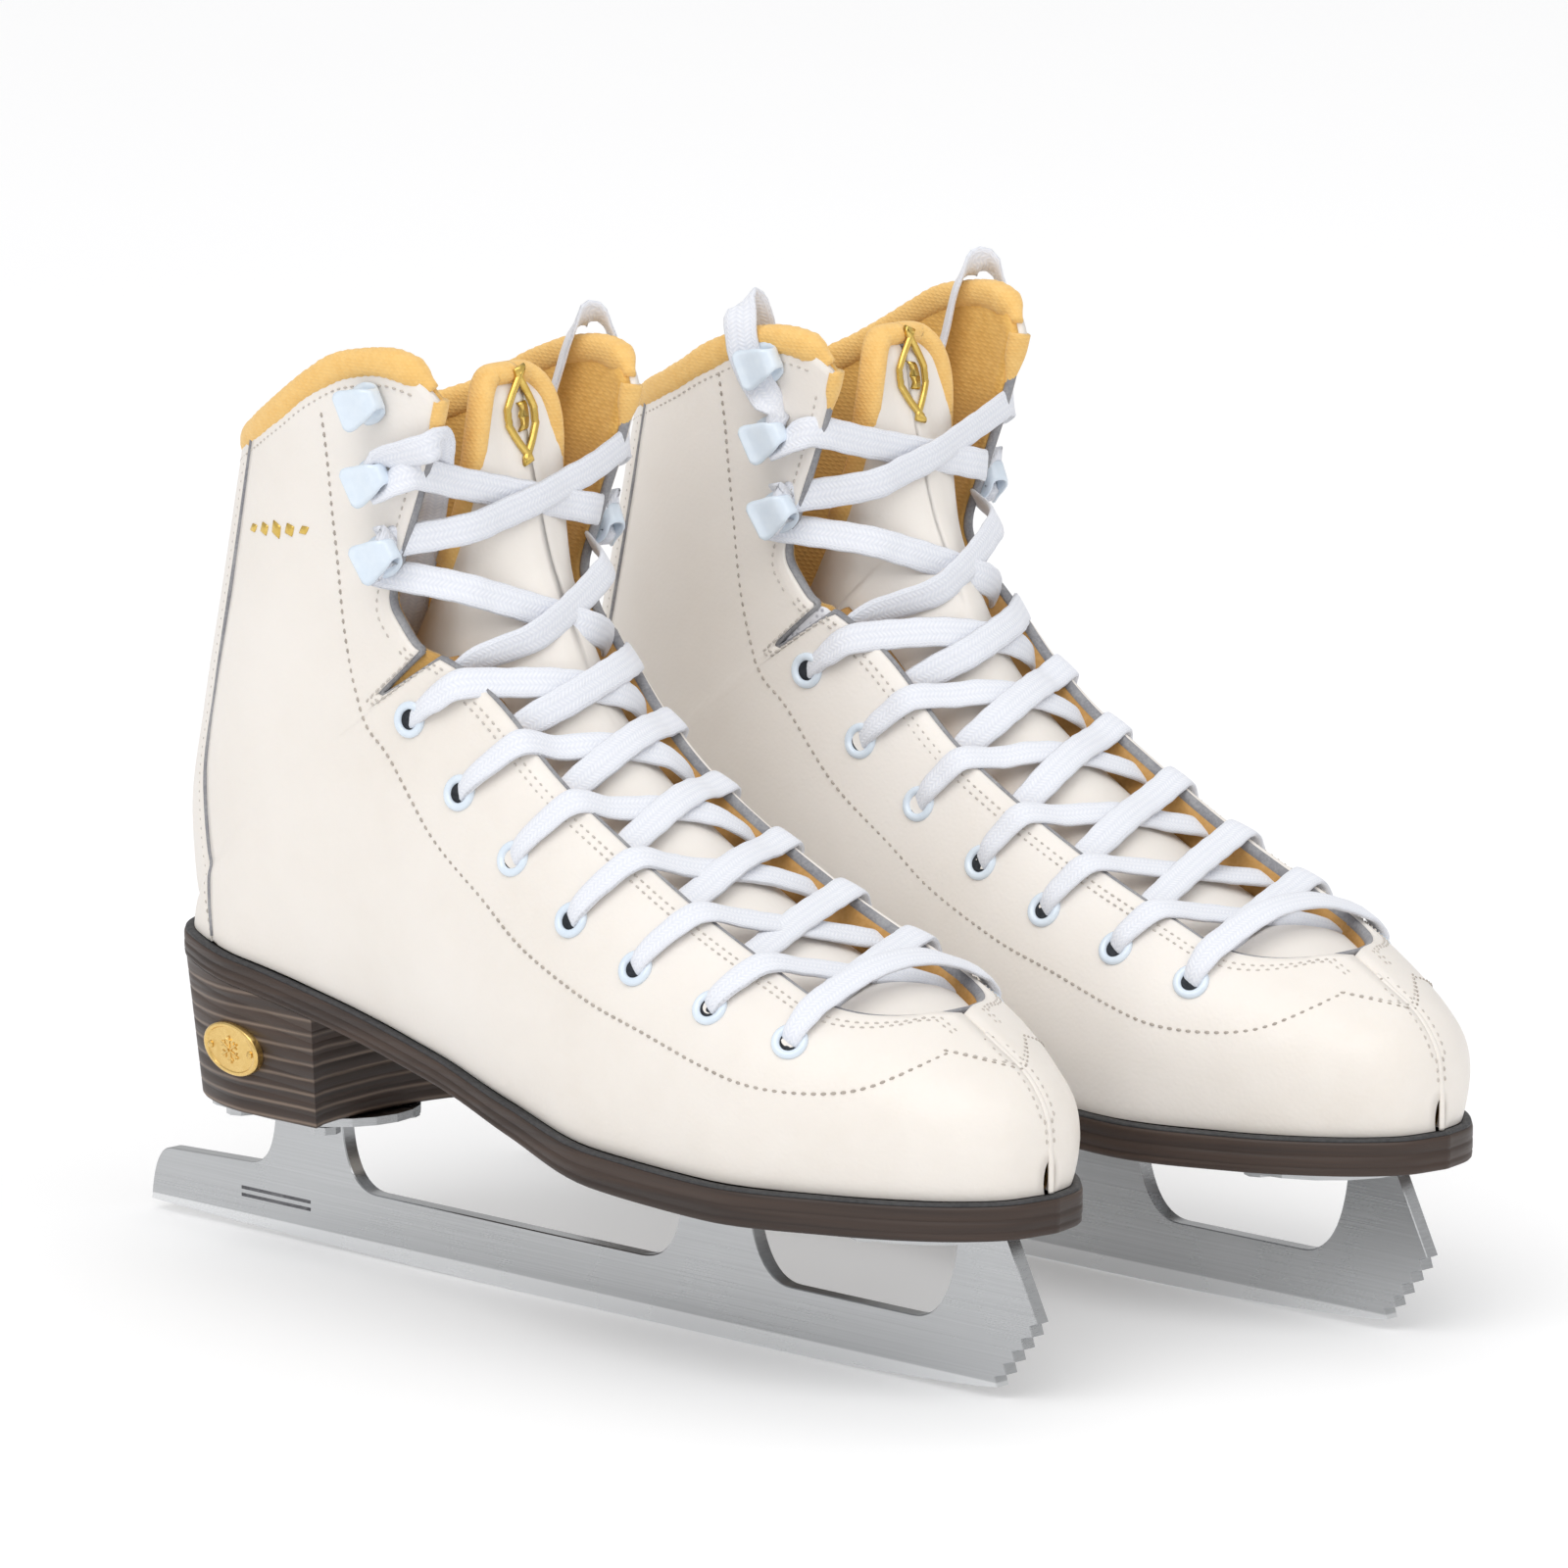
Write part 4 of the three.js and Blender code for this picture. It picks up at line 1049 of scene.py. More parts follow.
def makeStay(skate):
    plan = upperPlan
    half = plan["stayColumns"]
    rows = [t for t in (mix(0.3, 1, i / 119) for i in range(120)) if stayV(t) > 0.012]
    table = []
    for j in range(-half, half + 1):
        side = 1 if j < 0 else -1
        share = abs(j) / half
        share = min(share, 1 - 0.02) if abs(j) < half else share
        def vAt(t, side=side, share=share):
            edge = angleOf(t, max(stayV(t) - 0.004, 0.001), side)
            return vOfAngle(t, mix(-math.pi / 2, edge, share), side)
        top = topT(vAt, side, plan["underBinding"])
        places = []
        for t in rows:
            if t >= plan["trimFrom"]:
                t = mix(plan["trimFrom"], top, (t - plan["trimFrom"]) / (1 - plan["trimFrom"]))
            places.append((t, vAt(t), side))
        table.append(places)

    def pointAt(i, j, layer):
        t, v, side = table[j][i]
        rim = j in (0, 2 * half)
        edge = plan["edgeRound"] * (1 - 2 * layer) if rim else -0.25 * (1 - layer)
        p = skin(t, v, side, sizes["leather"] * layer + edge)
        if j == half and t >= tHeel:
            p.y = 0
        return p

    body = Body()
    body.sheet(len(rows), 2 * half + 1, pointAt)
    return body.make("back_stay", skate, [leather], "leather", ["back_stay"])


def makePiping(skate):
    body = Body()
    for side in (1, -1):
        route = []
        top = topT(stayV, side, upperPlan["underBinding"])
        for i in range(110):
            t = mix(0.3, top, i / 109)
            if stayV(t) < 0.012:
                continue
            route.append((skin(t, stayV(t), side, 0.25), outward(t, stayV(t), side)))
        body.tube(ringsAlong(route, 0.75, 0.75, 8))
    return body.make("stay_piping", skate, [felt], "leather")


def makeLining(skate):
    plan = upperPlan
    half = plan["liningColumns"]
    outerDepth = sizes["leather"] + 0.12
    table = []
    for j in range(-half, half + 1):
        side = 1 if j < 0 else -1
        share = abs(j) / half
        def vAt(t, side=side, share=share):
            return vOfAngle(t, mix(-math.pi / 2, angleOf(t, facingV(t, side, False), side), share), side)
        table.append([(t, vAt(t), side) for t in rowsUnder(vAt, side, plan["liningRows"], 0.012)])

    def pointAt(i, j, layer):
        t, v, side = table[j][i]
        p = skin(t, v, side, outerDepth + sizes["lining"] * layer)
        if j == half and t >= tHeel:
            p.y = 0
        return p

    body = Body()
    body.sheet(plan["liningRows"], 2 * half + 1, pointAt)
    return body.make("lining", skate, [liningKnit], "lining", ["lining"])


feltPlan = {"halfWidth": 0.7, "halfHeight": 1.3, "depth": 1.9, "count": 150, "top": 0.885}


# Grey felt between the leather and the lining shows along the cut edges of the facings.
def makeFacingFelt(skate):
    plan = feltPlan
    body = Body()
    route = []
    for side in (1, -1):
        half = []
        for i in range(plan["count"]):
            t = mix(0.118, plan["top"], i / (plan["count"] - 1))
            if facingGap(t) <= 0:
                continue
            v = facingV(t, side) + 0.002
            half.append((skin(t, v, side, plan["depth"]), outward(t, v, side)))
        route = half[::-1] + route if side > 0 else route + half
    body.tube(ringsAlong(route, plan["halfWidth"], plan["halfHeight"], 8, 3))
    return body.make("facing_felt", skate, [felt], "lining")


bindingPlan.update({
    "halfWidth": 3.5, "halfHeight": 3.3, "steps": 110, "reach": 0.965, "ring": 18, "pucker": 0.12,
})


def makeBinding(skate):
    plan = bindingPlan
    route, sizesAlong = [], []
    total = plan["steps"]
    for i in range(-total, total + 1):
        side = 1 if i < 0 else -1
        v = plan["reach"] * facingV(0.93, side) * abs(i) / total
        t = topT(lambda _, v=v: v, side, plan["halfHeight"])
        p = skin(t, v, side, (sizes["leather"] + sizes["gap"] + sizes["lining"]) / 2)
        if i == 0:
            p.y = 0
        out = outward(t, v, side)
        out.z = 0
        route.append((p, out.normalized()))
        end = smooth(1, 0.93, abs(i) / total)
        sizesAlong.append(mix(0.45, 1, end))
    for _ in range(3):
        middle = [route[0]]
        for a, b, c in zip(route, route[1:], route[2:]):
            middle.append(((a[0] + b[0] * 2 + c[0]) / 4, (a[1] + b[1] * 2 + c[1]).normalized()))
        route = middle + [route[-1]]
    rings = ringsAlong(route, 1, 1, plan["ring"], 2.5)
    for i, ring in enumerate(rings):
        centre = route[i][0]
        pucker = 1 + plan["pucker"] * 0.3 * math.sin(i * 1.9) + plan["pucker"] * noise.noise(centre * 0.15)
        across = (ring[0] - centre).normalized()
        for k, p in enumerate(ring):
            d = p - centre
            a = d.dot(across)
            rest = d - across * a
            wide = across * (a * plan["halfWidth"] * sizesAlong[i] * pucker)
            ring[k] = centre + rest * plan["halfHeight"] * sizesAlong[i] + wide
    body = Body()
    body.tube(rings)
    piece = body.make("collar_binding", skate, [bindingKnit], "binding", ["collar_binding"])
    return piece


frontPlan = {"from": 0.868, "to": 0.965, "count": 44, "halfWidth": 1.7, "halfHeight": 2.7}


# The collar's binding turns down the front edge of each facing and tapers out.
def makeFrontBinding(skate):
    plan = frontPlan
    body = Body()
    for side in (1, -1):
        top = topT(lambda t, side=side: facingV(t, side), side, 3)
        route = []
        for i in range(plan["count"]):
            t = mix(plan["from"], min(plan["to"], top), i / (plan["count"] - 1))
            v = facingV(t, side)
            route.append((skin(t, v, side, 2.1), outward(t, v, side)))
        rings = ringsAlong(route, plan["halfWidth"], plan["halfHeight"], 14, 2.3)
        for i, ring in enumerate(rings):
            size = mix(0.25, 1, smooth(0, 0.8, i / (plan["count"] - 1)))
            ring[:] = [route[i][0] + (q - route[i][0]) * size for q in ring]
        body.tube(rings)
    piece = body.make("front_binding", skate, [bindingKnit], "binding")
    return piece


def makeTongue(skate):
    plan = tonguePlan
    rows, cols = plan["rows"], plan["columns"]
    top = plan["finish"]
    length = (tonguePoint(top, 0, 0) - tonguePoint(top - 0.01, 0, 0)).length / 0.01
    cornerT = plan["corner"] / length

    def widthShare(t):
        past = clamp01((t - (top - cornerT)) / cornerT)
        return mix(1 - plan["corner"] / tongueHalf(t), 1, math.sqrt(max(0, 1 - past ** 2)))

    def rowT(i):
        s = i / (rows - 1)
        return mix(plan["start"], top, 1 - (1 - s) ** 1.35)

    def layerPoint(i, j, top0, thick, layer):
        t = rowT(i)
        share = (2 * j / (cols - 1) - 1)
        share = math.copysign(abs(share) ** 0.9, share) * widthShare(t)
        edge = max(abs(share) / max(widthShare(t), 0.01), 0)
        rounded = min(1, smooth(0.88, 1, edge) + smooth(top - 0.02, top, t))
        puff = plan["puff"] * (1 - rounded)
        depth = top0 + thick * layer + rounded * thick * (-0.2 if layer else 0.35)
        return tonguePoint(t, share, depth - (puff if not layer and top0 == 0 else 0))

    front = Body()
    front.sheet(rows, cols, lambda i, j, layer: layerPoint(i, j, 0, plan["leather"], layer))
    piece = front.make("tongue", skate, [leather], "leather", ["tongue"])
    back = Body()
    back.sheet(rows, cols, lambda i, j, layer: layerPoint(i, j, plan["leather"] + 0.05, plan["back"], layer))
    back.make("tongue_lining", skate, [liningKnit], "lining")
    route = []
    edgeRows = [rowT(i) for i in range(rows) if rowT(i) > 0.78]
    for side in (-1, 1):
        half = []
        for t in edgeRows:
            share = side * widthShare(t)
            half.append((tonguePoint(t, share, plan["edgeDepth"]), outward(t, 0.99, 1)))
        if side < 0:
            route = half
        else:
            lastT = edgeRows[-1]
            for k in range(1, 24):
                share = mix(-widthShare(lastT), widthShare(lastT), k / 24)
                route.append((tonguePoint(lastT, share, plan["edgeDepth"]), outward(lastT, 0.99, 1)))
            route += half[::-1]
    for _ in range(2):
        eased = [((a[0] + b[0] * 2 + c[0]) / 4, b[1]) for a, b, c in zip(route, route[1:], route[2:])]
        route = [route[0], *eased, route[-1]]
    rings = ringsAlong(route, plan["edgeWidth"], plan["edgeHeight"], 14, 2.4)
    edge = Body()
    edge.tube(rings)
    bound = edge.make("tongue_binding", skate, [bindingKnit], "binding")
    return piece


for skate in skates.values():
    makeQuarter(skate, 1, "quarter_outer")
    makeQuarter(skate, -1, "quarter_inner")
    makeStay(skate)
    makePiping(skate)
    makeLining(skate)
    makeFacingFelt(skate)
    makeBinding(skate)
    makeFrontBinding(skate)
    makeTongue(skate)
    print(skate["name"], "upper lasted")

facingPlan = {"from": 0.128, "to": 0.688, "count": 110, "fall": 8.5, "splay": 0.12, "thickness": 1.3}


# The facings are lined with tan leather, which turns down into the throat beside the tongue.
def makeFacingLining(skate):
    plan = facingPlan
    body = Body()
    for side in (1, -1):
        rows = []
        for i in range(plan["count"]):
            t = mix(plan["from"], plan["to"], i / (plan["count"] - 1))
            if facingGap(t) < 4:
                continue
            fall = plan["fall"] * min(1, facingGap(t) / 14)
            rows.append((t, facingV(t, side, False), fall))

        def pointAt(i, j, layer, rows=rows, side=side):
            t, v, fall = rows[i]
            down = fall * j / 6
            back = Vector((0, -side, 0))
            edge = skin(t, v, side, 2.3 + down)
            return edge + back * (plan["splay"] * down - 0.9 + plan["thickness"] * layer)

        body.sheet(len(rows), 7, pointAt)
    return body.make("facing_lining", skate, [tanLeather], "lining")


meshPlan = {"from": 0.672, "to": 0.742, "back": 0.2, "depth": 2.35}


# White mesh cloth shows in the flex notch of the inner side.
def makeNotchMesh(skate, side):
    plan = meshPlan
    body = Body()

    def pointAt(i, j, layer):
        t = mix(plan["from"], plan["to"], i / 15)
        edge = facingV(t, side, False)
        v = mix(edge - plan["back"], edge - 0.004, j / 15)
        ripple = 0.15 * math.sin(i * 0.8) * math.sin(j * 0.7)
        return skin(t, v, side, plan["depth"] - 0.25 * (1 - layer) - ripple)

    body.sheet(16, 16, pointAt)
    return body.make("notch_mesh", skate, [meshCloth], "lining")


# Eyelets and hooks.
def surfaceFrame(t, v, side):
    normal = outward(t, v, side)
    back = lastPoint(t, v - 0.02, side) - lastPoint(t, v + 0.02, side)
    back = (back - normal * back.dot(normal)).normalized()
    return lastPoint(t, v, side), normal, back, back.cross(normal)


def lathe(body, origin, normal, across, profile, count, finish=0):
    other = normal.cross(across)
    rings = []
    for radius, height in profile:
        centre = origin + normal * height
        ring = []
        for k in range(count):
            a = 2 * math.pi * k / count
            ring.append(centre + (across * math.cos(a) + other * math.sin(a)) * radius)
        rings.append(ring)
    body.tube(rings, finish, None, False)
    return rings


# hollow is the radius of a near-black disc that closes each eyelet's hole as painted shade.
eyeletPlan = {
    "profile": [(2.35, -1.6), (2.3, -0.2), (2.45, 0.5), (2.85, 0.85), (3.4, 0.92), (3.95, 0.75), (4.25, 0.35),
                (4.3, -0.2), (3.9, -0.5), (2.9, -0.9), (2.6, -1.6), (2.35, -1.6)],
    "hollow": 2.5,
}


def makeEyelets(skate, side, name):
    rims, holeShades = Body(), Body()
    for t, v in eyelets:
        at, normal, back, _ = surfaceFrame(t, v, side)
        lathe(rims, at, normal, back, eyeletPlan["profile"], 32)
        # Painted shade: a dark disc sits in each eyelet's hole, for the shadow inside it.
        radius = eyeletPlan["hollow"]
        hollow = [(0.05, 0.02), (radius * 0.6, -0.02), (radius, 0.05), (radius, -1.2), (0.05, -1.25)]
        lathe(holeShades, at, normal, back, hollow, 20)
    rims.make(f"eyelets_{name}", skate, [enamel], "white_metal")
    holeShades.make(f"eyelet_hollows_{name}", skate, [holeShadeFinish], "lining")


# A hook's sheet as stops of (back, height, half width), from the foot over the stem to the lip.
hookPlan = {
    "sheet": [
        (6.4, 0.55, 3.4), (5.2, 0.5, 4.6), (2, 0.5, 4.9), (-0.6, 0.5, 4.0), (-1.7, 0.9, 2.9),
        (-2.3, 1.9, 2.5), (-2.4, 3.3, 2.5), (-2, 4.5, 2.7), (-1, 5.2, 3.3), (0.8, 5.35, 3.9),
        (3.2, 5.3, 4.4), (5.2, 5.5, 4.9), (6.5, 6.1, 4.7), (7.1, 6.6, 3.6),
    ],
    "thickness": 0.95, "columns": 9, "step": 0.55,
    "rivet": [(0.05, 1.9), (1, 1.85), (1.7, 1.6), (2.1, 1.1), (2.1, 0.5), (0.05, 0.45)],
    "rivetPlace": 2.6,
}


def makeHook(skate, side, index, name):
    plan = hookPlan
    t, v = hooks[index]
    at, normal, back, along = surfaceFrame(t, v, side)
    line = catmull([(b, h, w) for b, h, w in plan["sheet"]], plan["step"])
    rows = len(line)

    def pointAt(i, j, layer):
        b, h, w = line[i]
        before, after = line[max(0, i - 1)], line[min(rows - 1, i + 1)]
        db, dh = after[0] - before[0], after[1] - before[1]
        size = math.hypot(db, dh) or 1
        inner = plan["thickness"] * (layer - 0.5)
        across = (2 * j / (plan["columns"] - 1) - 1) * w
        rim = 0.28 if j in (0, plan["columns"] - 1) or i in (0, rows - 1) else 0
        inner *= 1 - rim * 1.6
        b, h = b + inner * -dh / size, h + inner * db / size
        return at + back * b + normal * (h + 0.25) + along * across

    body = Body()
    body.sheet(rows, plan["columns"], pointAt)
    lathe(body, at + back * plan["rivetPlace"], normal, back, plan["rivet"], 20)
    return body.make(name, skate, [enamel], "white_metal", [name])


# Stitching.
stitchPlan = {"spacing": 2.3, "length": 1.35, "halfWidth": 0.36, "sink": 0.12}


def stitchRow(body, line, spacing, length, halfWidth):
    # line holds (point, outward direction); stitches are laid along it at an even spacing.
    travelled, due = 0, spacing / 2
    for (a, out), (b, _) in zip(line, line[1:]):
        step = (b - a).length
        while step > 0 and travelled + step >= due:
            s = (due - travelled) / step
            p, along = a.lerp(b, s), (b - a).normalized()
            across = out.cross(along).normalized()
            up = along.cross(across)
            rings = []
            for x, size in ((-1, 0.15), (-0.8, 0.75), (0, 1), (0.8, 0.75), (1, 0.15)):
                centre = p + along * (x * length / 2) - up * (stitchPlan["sink"] * abs(x) * 2)
                rings.append(ringOf(centre, across, up, halfWidth * size, halfWidth * size, 6))
            body.tube(rings)
            due += spacing
        travelled += step


def seamOn(points, side, lift=0.12):
    # A smooth seam through (x, z) places in side view.
    line = []
    for x, z in catmull([(float(x), float(z)) for x, z in points], 2.5):
        t, v = onLast(x, z)
        line.append((skin(t, v, side, -lift), outward(t, v, side)))
    return line


def alongFacing(t0, t1, side, inset, count=90, notched=True):
    line = []
    for i in range(count):
        t = mix(t0, t1, i / (count - 1))
        edge = facingV(t, side, notched)
        here = lastPoint(t, edge, side)
        near = lastPoint(t, edge - 0.05, side)
        v = edge - 0.05 * inset / max((near - here).length, 0.5)
        line.append((skin(t, v, side, -0.12), outward(t, v, side)))
    return line


overlaySeam = [
    (72, 209), (73, 198), (74, 178), (76, 155), (82, 138), (91, 130), (107, 114), (126, 102), (141, 93),
    (162, 85), (181, 80), (199, 75), (213, 72), (226, 71.5), (236, 73), (242.5, 76.5), (246.5, 80), (248, 82),
]
toePlan = {"from": 0.004, "to": 0.112, "count": 60, "halfWidth": 0.8, "halfHeight": 0.5}


# A folded seam runs up the middle of the toe.
def makeToeSeam(skate):
    plan = toePlan
    route = []
    for i in range(plan["count"]):
        t = mix(plan["from"], plan["to"], i / (plan["count"] - 1))
        p = overThroat(t, 0.01, -0.25)
        p.y = 0
        out = outward(t, 0.99, 1)
        out.y = 0
        route.append((p, out.normalized()))
    front = lastPoint(plan["from"], 0, 1)
    foot = []
    for k in range(14):
        p = Vector((route[0][0].x + 0.1, 0, mix(front.z + 0.2, route[0][0].z, k / 14)))
        foot.append((p, Vector((1, 0, 0.05)).normalized()))
    body = Body()
    body.tube(ringsAlong(foot + route, plan["halfWidth"], plan["halfHeight"], 10, 2.2))
    return body.make("toe_seam", skate, [leather], "leather")


def makeStitching(skate):
    plan = stitchPlan
    body, pale = Body(), Body()
    for side in (1, -1):
        stitchRow(body, seamOn(overlaySeam, side), plan["spacing"], plan["length"], plan["halfWidth"])
        for inset in (3.6, 5.4):
            row = alongFacing(0.12, 0.66, side, inset)
            stitchRow(pale, row, 2.2, 1.2, 0.26)
        stitchRow(pale, alongFacing(0.75, 0.9, side, 4), 2.2, 1.2, 0.26)
        for inset in (1.8, 3.4):  # round the flex notch
            stitchRow(pale, alongFacing(0.668, 0.742, side, inset, 50), 2.1, 1.2, 0.28)
        # under the collar binding
        row = []
        for i in range(90):
            v = 0.93 * facingV(0.93, side) * i / 89
            t = topT(lambda _, v=v: v, side, 8.2)
            row.append((skin(t, v, side, -0.12), outward(t, v, side)))
        stitchRow(pale, row, 2.2, 1.2, 0.26)
        # beside the piping of the back stay
        for share in (0.84,):
            row = []
            top = topT(lambda t, share=share: stayV(t) * share, side, 9)
            for i in range(90):
                t = mix(0.34, top, i / 89)
                v = max(stayV(t), 0.002) * share
                if stayV(t) > 0.02:
                    row.append((skin(t, v, side, -0.2), outward(t, v, side)))
            stitchRow(pale, row, 2.2, 1.2, 0.26)
        # beside the toe's centre seam
        row = []
        for i in range(50):
            t = mix(0.012, 0.1, i / 49)
            v = crownV(t, 2.2 if t > 0.03 else 1.2, side)
            row.append((skin(t, v, side, -0.1), outward(t, v, side)))
        stitchRow(pale, row, 2.2, 1.2, 0.28)
    # the vamp point, ahead of the throat
    for inset in (0, 1.6):
        row = []
        for k in range(41):
            across = mix(-13 + inset, 13 - inset, k / 40)
            t = 0.118 - (0.047 - inset * 0.003) * (1 - (abs(across) / 14) ** 1.3)
            p = overThroat(t, across, 0.15)
            hand = 1 if across >= 0 else -1
            row.append((p, outward(t, crownV(t, abs(across), hand), hand)))
        stitchRow(pale if inset else body, row, 2.2, 1.25, 0.3)
    body.make("overlay_stitching", skate, [threadFinish], "leather")
    pale.make("edge_stitching", skate, [paleThread], "leather")


paleThread = makeWorn("pale seam thread", (0.62, 0.58, 0.53), (0.5, 0.46, 0.42), 0.8, 0, 1800, 0.0001)


# Gold ornaments.
emblemPlan = {"t": 0.856, "halfHeight": 10.5, "halfWidth": 7.5, "bar": 0.95, "lift": 0.6, "inner": 0.34}


# A plain gold lozenge with a smaller one inside it, embossed on the tongue.
def makeEmblem(skate):
    plan = emblemPlan
    body = Body()
    scale = (tonguePoint(plan["t"] + 0.01, 0, 0) - tonguePoint(plan["t"] - 0.01, 0, 0)).length / 0.02

    def on(x, y, lift):
        t = plan["t"] + y / scale
        return tonguePoint(t, x / tongueHalf(t), -lift - tonguePlan["puff"])

    def lozenge(a, size, lift):
        c, s = math.cos(a), math.sin(a)
        r = size / (abs(c) + abs(s)) ** 0.8
        return on(c * plan["halfWidth"] * r, s * plan["halfHeight"] * r, lift)

    out = outward(plan["t"], 0.99, 1)
    route = [(lozenge(2 * math.pi * k / 64, 1, plan["lift"]), out) for k in range(64)]
    rings = ringsAlong(route, plan["bar"], plan["bar"] * 0.8, 10, 2, True)
    body.grid(len(rings), 10, lambda i, j: rings[i][j], True, True)
    rings = []
    for size, lift in ((1, -0.5), (1, 0.5), (0.8, 1), (0.4, 1.2), (0.05, 1.25)):
        rings.append([lozenge(2 * math.pi * k / 32, plan["inner"] * size, lift) for k in range(32)])
    body.tube(rings)
    return body.make("tongue_emblem", skate, [goldFoil], "brass")


flourishPlan = {"x": 44, "z": 178, "step": 5, "heights": (1.1, 1.7, 2.3, 1.7, 1.1), "rise": 0.1}


# A row of small gold lozenges on the shaft.
def makeFlourish(skate, side):
    plan = flourishPlan
    body = Body()
    for k, half in enumerate(plan["heights"]):
        x = plan["x"] + k * plan["step"]
        t, v = onLast(x, plan["z"] + plan["rise"] * (x - plan["x"]))
        at, normal, back, along = surfaceFrame(t, v, side)
        rings = []
        for size, height in ((1, -0.3), (1, 0.15), (0.75, 0.35), (0.05, 0.42)):
            ring = []
            for q in range(16):
                a = 2 * math.pi * q / 16
                c, s = math.cos(a), math.sin(a)
                r = 1 / (abs(c) + abs(s)) ** 0.85
                ring.append(at + normal * height + (back * c * 1.9 + along * s * half) * (r * size))
            rings.append(ring)
        body.tube(rings)
    return body.make("shaft_flourish", skate, [goldFoil], "brass")


# Sole, heel and insole.
def soleEdge(t, side):
    s = stationAt(t, side)
    middle, margin = sizes["soleLength"] / 2, sizes["soleMargin"]
    top = s["low"][1] - 2 * sizes["gap"]
    thick = mix(sizes["waistThickness"], sizes["soleThickness"], smooth(110, 175, s["low"][0]))
    return {
        "x": middle + (s["low"][0] - middle) * (1 + 2 * margin / sizes["soleLength"]),
        "half": s["foot"] * (1 + margin / 33),
        "top": top, "under": top - thick,
    }


def soleTs(count, start=0.0):
    # Closer together round the toe and the heel, where the outline turns fast.
    return [mix(start, tHeel, 0.5 - 0.5 * math.cos(math.pi * i / (count - 1))) for i in range(count)]


# A solid inside an outline of (outer, inner) point pairs: profile holds (inset, level) from top to bottom.
def outlineSolid(body, ts, pointAt, profile, finish=0, across=9):
    count = len(ts)
    loop = [(t, 1) for t in ts] + [(t, -1) for t in reversed(ts)]
    total = len(loop)
    rings = []
    for inset, level in profile:
        flat = [pointAt(t, side, level) for t, side in loop]
        ring = []
        for k, p in enumerate(flat):
            a, b = flat[(k - 2) % total], flat[(k + 2) % total]
            along = b - a
            along.z = 0
            inward = Vector((-along.y, along.x, 0)).normalized()
            towards = Vector((mix(p.x, sizes["soleLength"] / 2, 0.15), 0, 0)) - Vector((p.x, p.y, 0))
            if inward.dot(towards) < 0:
                inward = -inward
            ring.append(p + inward * inset)
        rings.append(ring)
    body.grid(len(rings), total, lambda i, j: rings[i][j], False, True, finish)
    for ring in (rings[0], rings[-1]):
        for i in range(count - 1):
            outerA, outerB = ring[i], ring[i + 1]
            innerA, innerB = ring[total - 1 - i], ring[total - 2 - i]
            for j in range(across):
                s0, s1 = j / across, (j + 1) / across
                corner = [outerA.lerp(innerA, s0), outerB.lerp(innerB, s0)]
                corner += [outerB.lerp(innerB, s1), outerA.lerp(innerA, s1)]
                base = len(body.points)
                body.points += corner
                body.marks += [(0, 0)] * 4
                body.cap(range(base, base + 4), finish)


outsolePlan = {"profile": [(3, 0), (0.7, 0.0), (0.12, 0.05), (0, 0.12), (0, 0.36), (0.28, 0.4), (0.28, 0.44),
                           (0, 0.48), (0, 0.7), (0.3, 0.74), (0.3, 0.78), (0.05, 0.82), (0.15, 0.93),
                           (0.6, 0.99), (1.2, 1), (4, 1)], "count": 120}


def makeOutsole(skate):
    body = Body()

    def pointAt(t, side, level):
        edge = soleEdge(t, side)
        return Vector((edge["x"], -side * edge["half"], mix(edge["top"], edge["under"], level)))

    outlineSolid(body, soleTs(outsolePlan["count"]), pointAt, outsolePlan["profile"])
    return body.make("outsole", skate, [soleLeather], "sole", ["outsole"])


# A dark strip where the upper meets the sole.
def makeWelt(skate):
    ts = soleTs(140)
    route = []
    for t, side in [(t, 1) for t in ts] + [(t, -1) for t in reversed(ts)]:
        edge = soleEdge(t, side)
        route.append(Vector((edge["x"], -side * edge["half"], edge["top"])))
    line = []
    total = len(route)
    for k, p in enumerate(route):
        along = route[(k + 2) % total] - route[(k - 2) % total]
        out = Vector((along.y, -along.x, 0)).normalized()
        middle = Vector((mix(p.x, 133, 0.15), 0, p.z))
        if out.dot(p - middle) < 0:
            out = -out
        line.append((p - out * 1.5 + Vector((0, 0, 0.1)), out))
    rings = ringsAlong(line, 0.5, 1.2, 10, 3, True)
    body = Body()
    body.grid(len(rings), 10, lambda i, j: rings[i][j], True, True)
    return body.make("welt", skate, [weltFinish], "sole")


heelPlan = {"breast": 60, "taper": 0.86, "hollow": 4.5, "lifts": 9, "groove": 0.16, "count": 44}


def tAtX(x):
    a, b = 0, tHeel
    for _ in range(30):
        t = (a + b) / 2
        if soleEdge(t, 1)["x"] > x:
            a = t
        else:
            b = t
    return a


def heelPoint(t, share, level):
    edge = soleEdge(t, 1 if share < 0 else -1)
    taper = mix(1, heelPlan["taper"], level)
    return Vector((
        mix(heelPlan["breast"] / 2, edge["x"], mix(1, taper, 0.7)),
        share * (edge["half"] - 2 * sizes["gap"]) * taper,
        mix(edge["under"], sizes["heelSeat"], level),
    ))


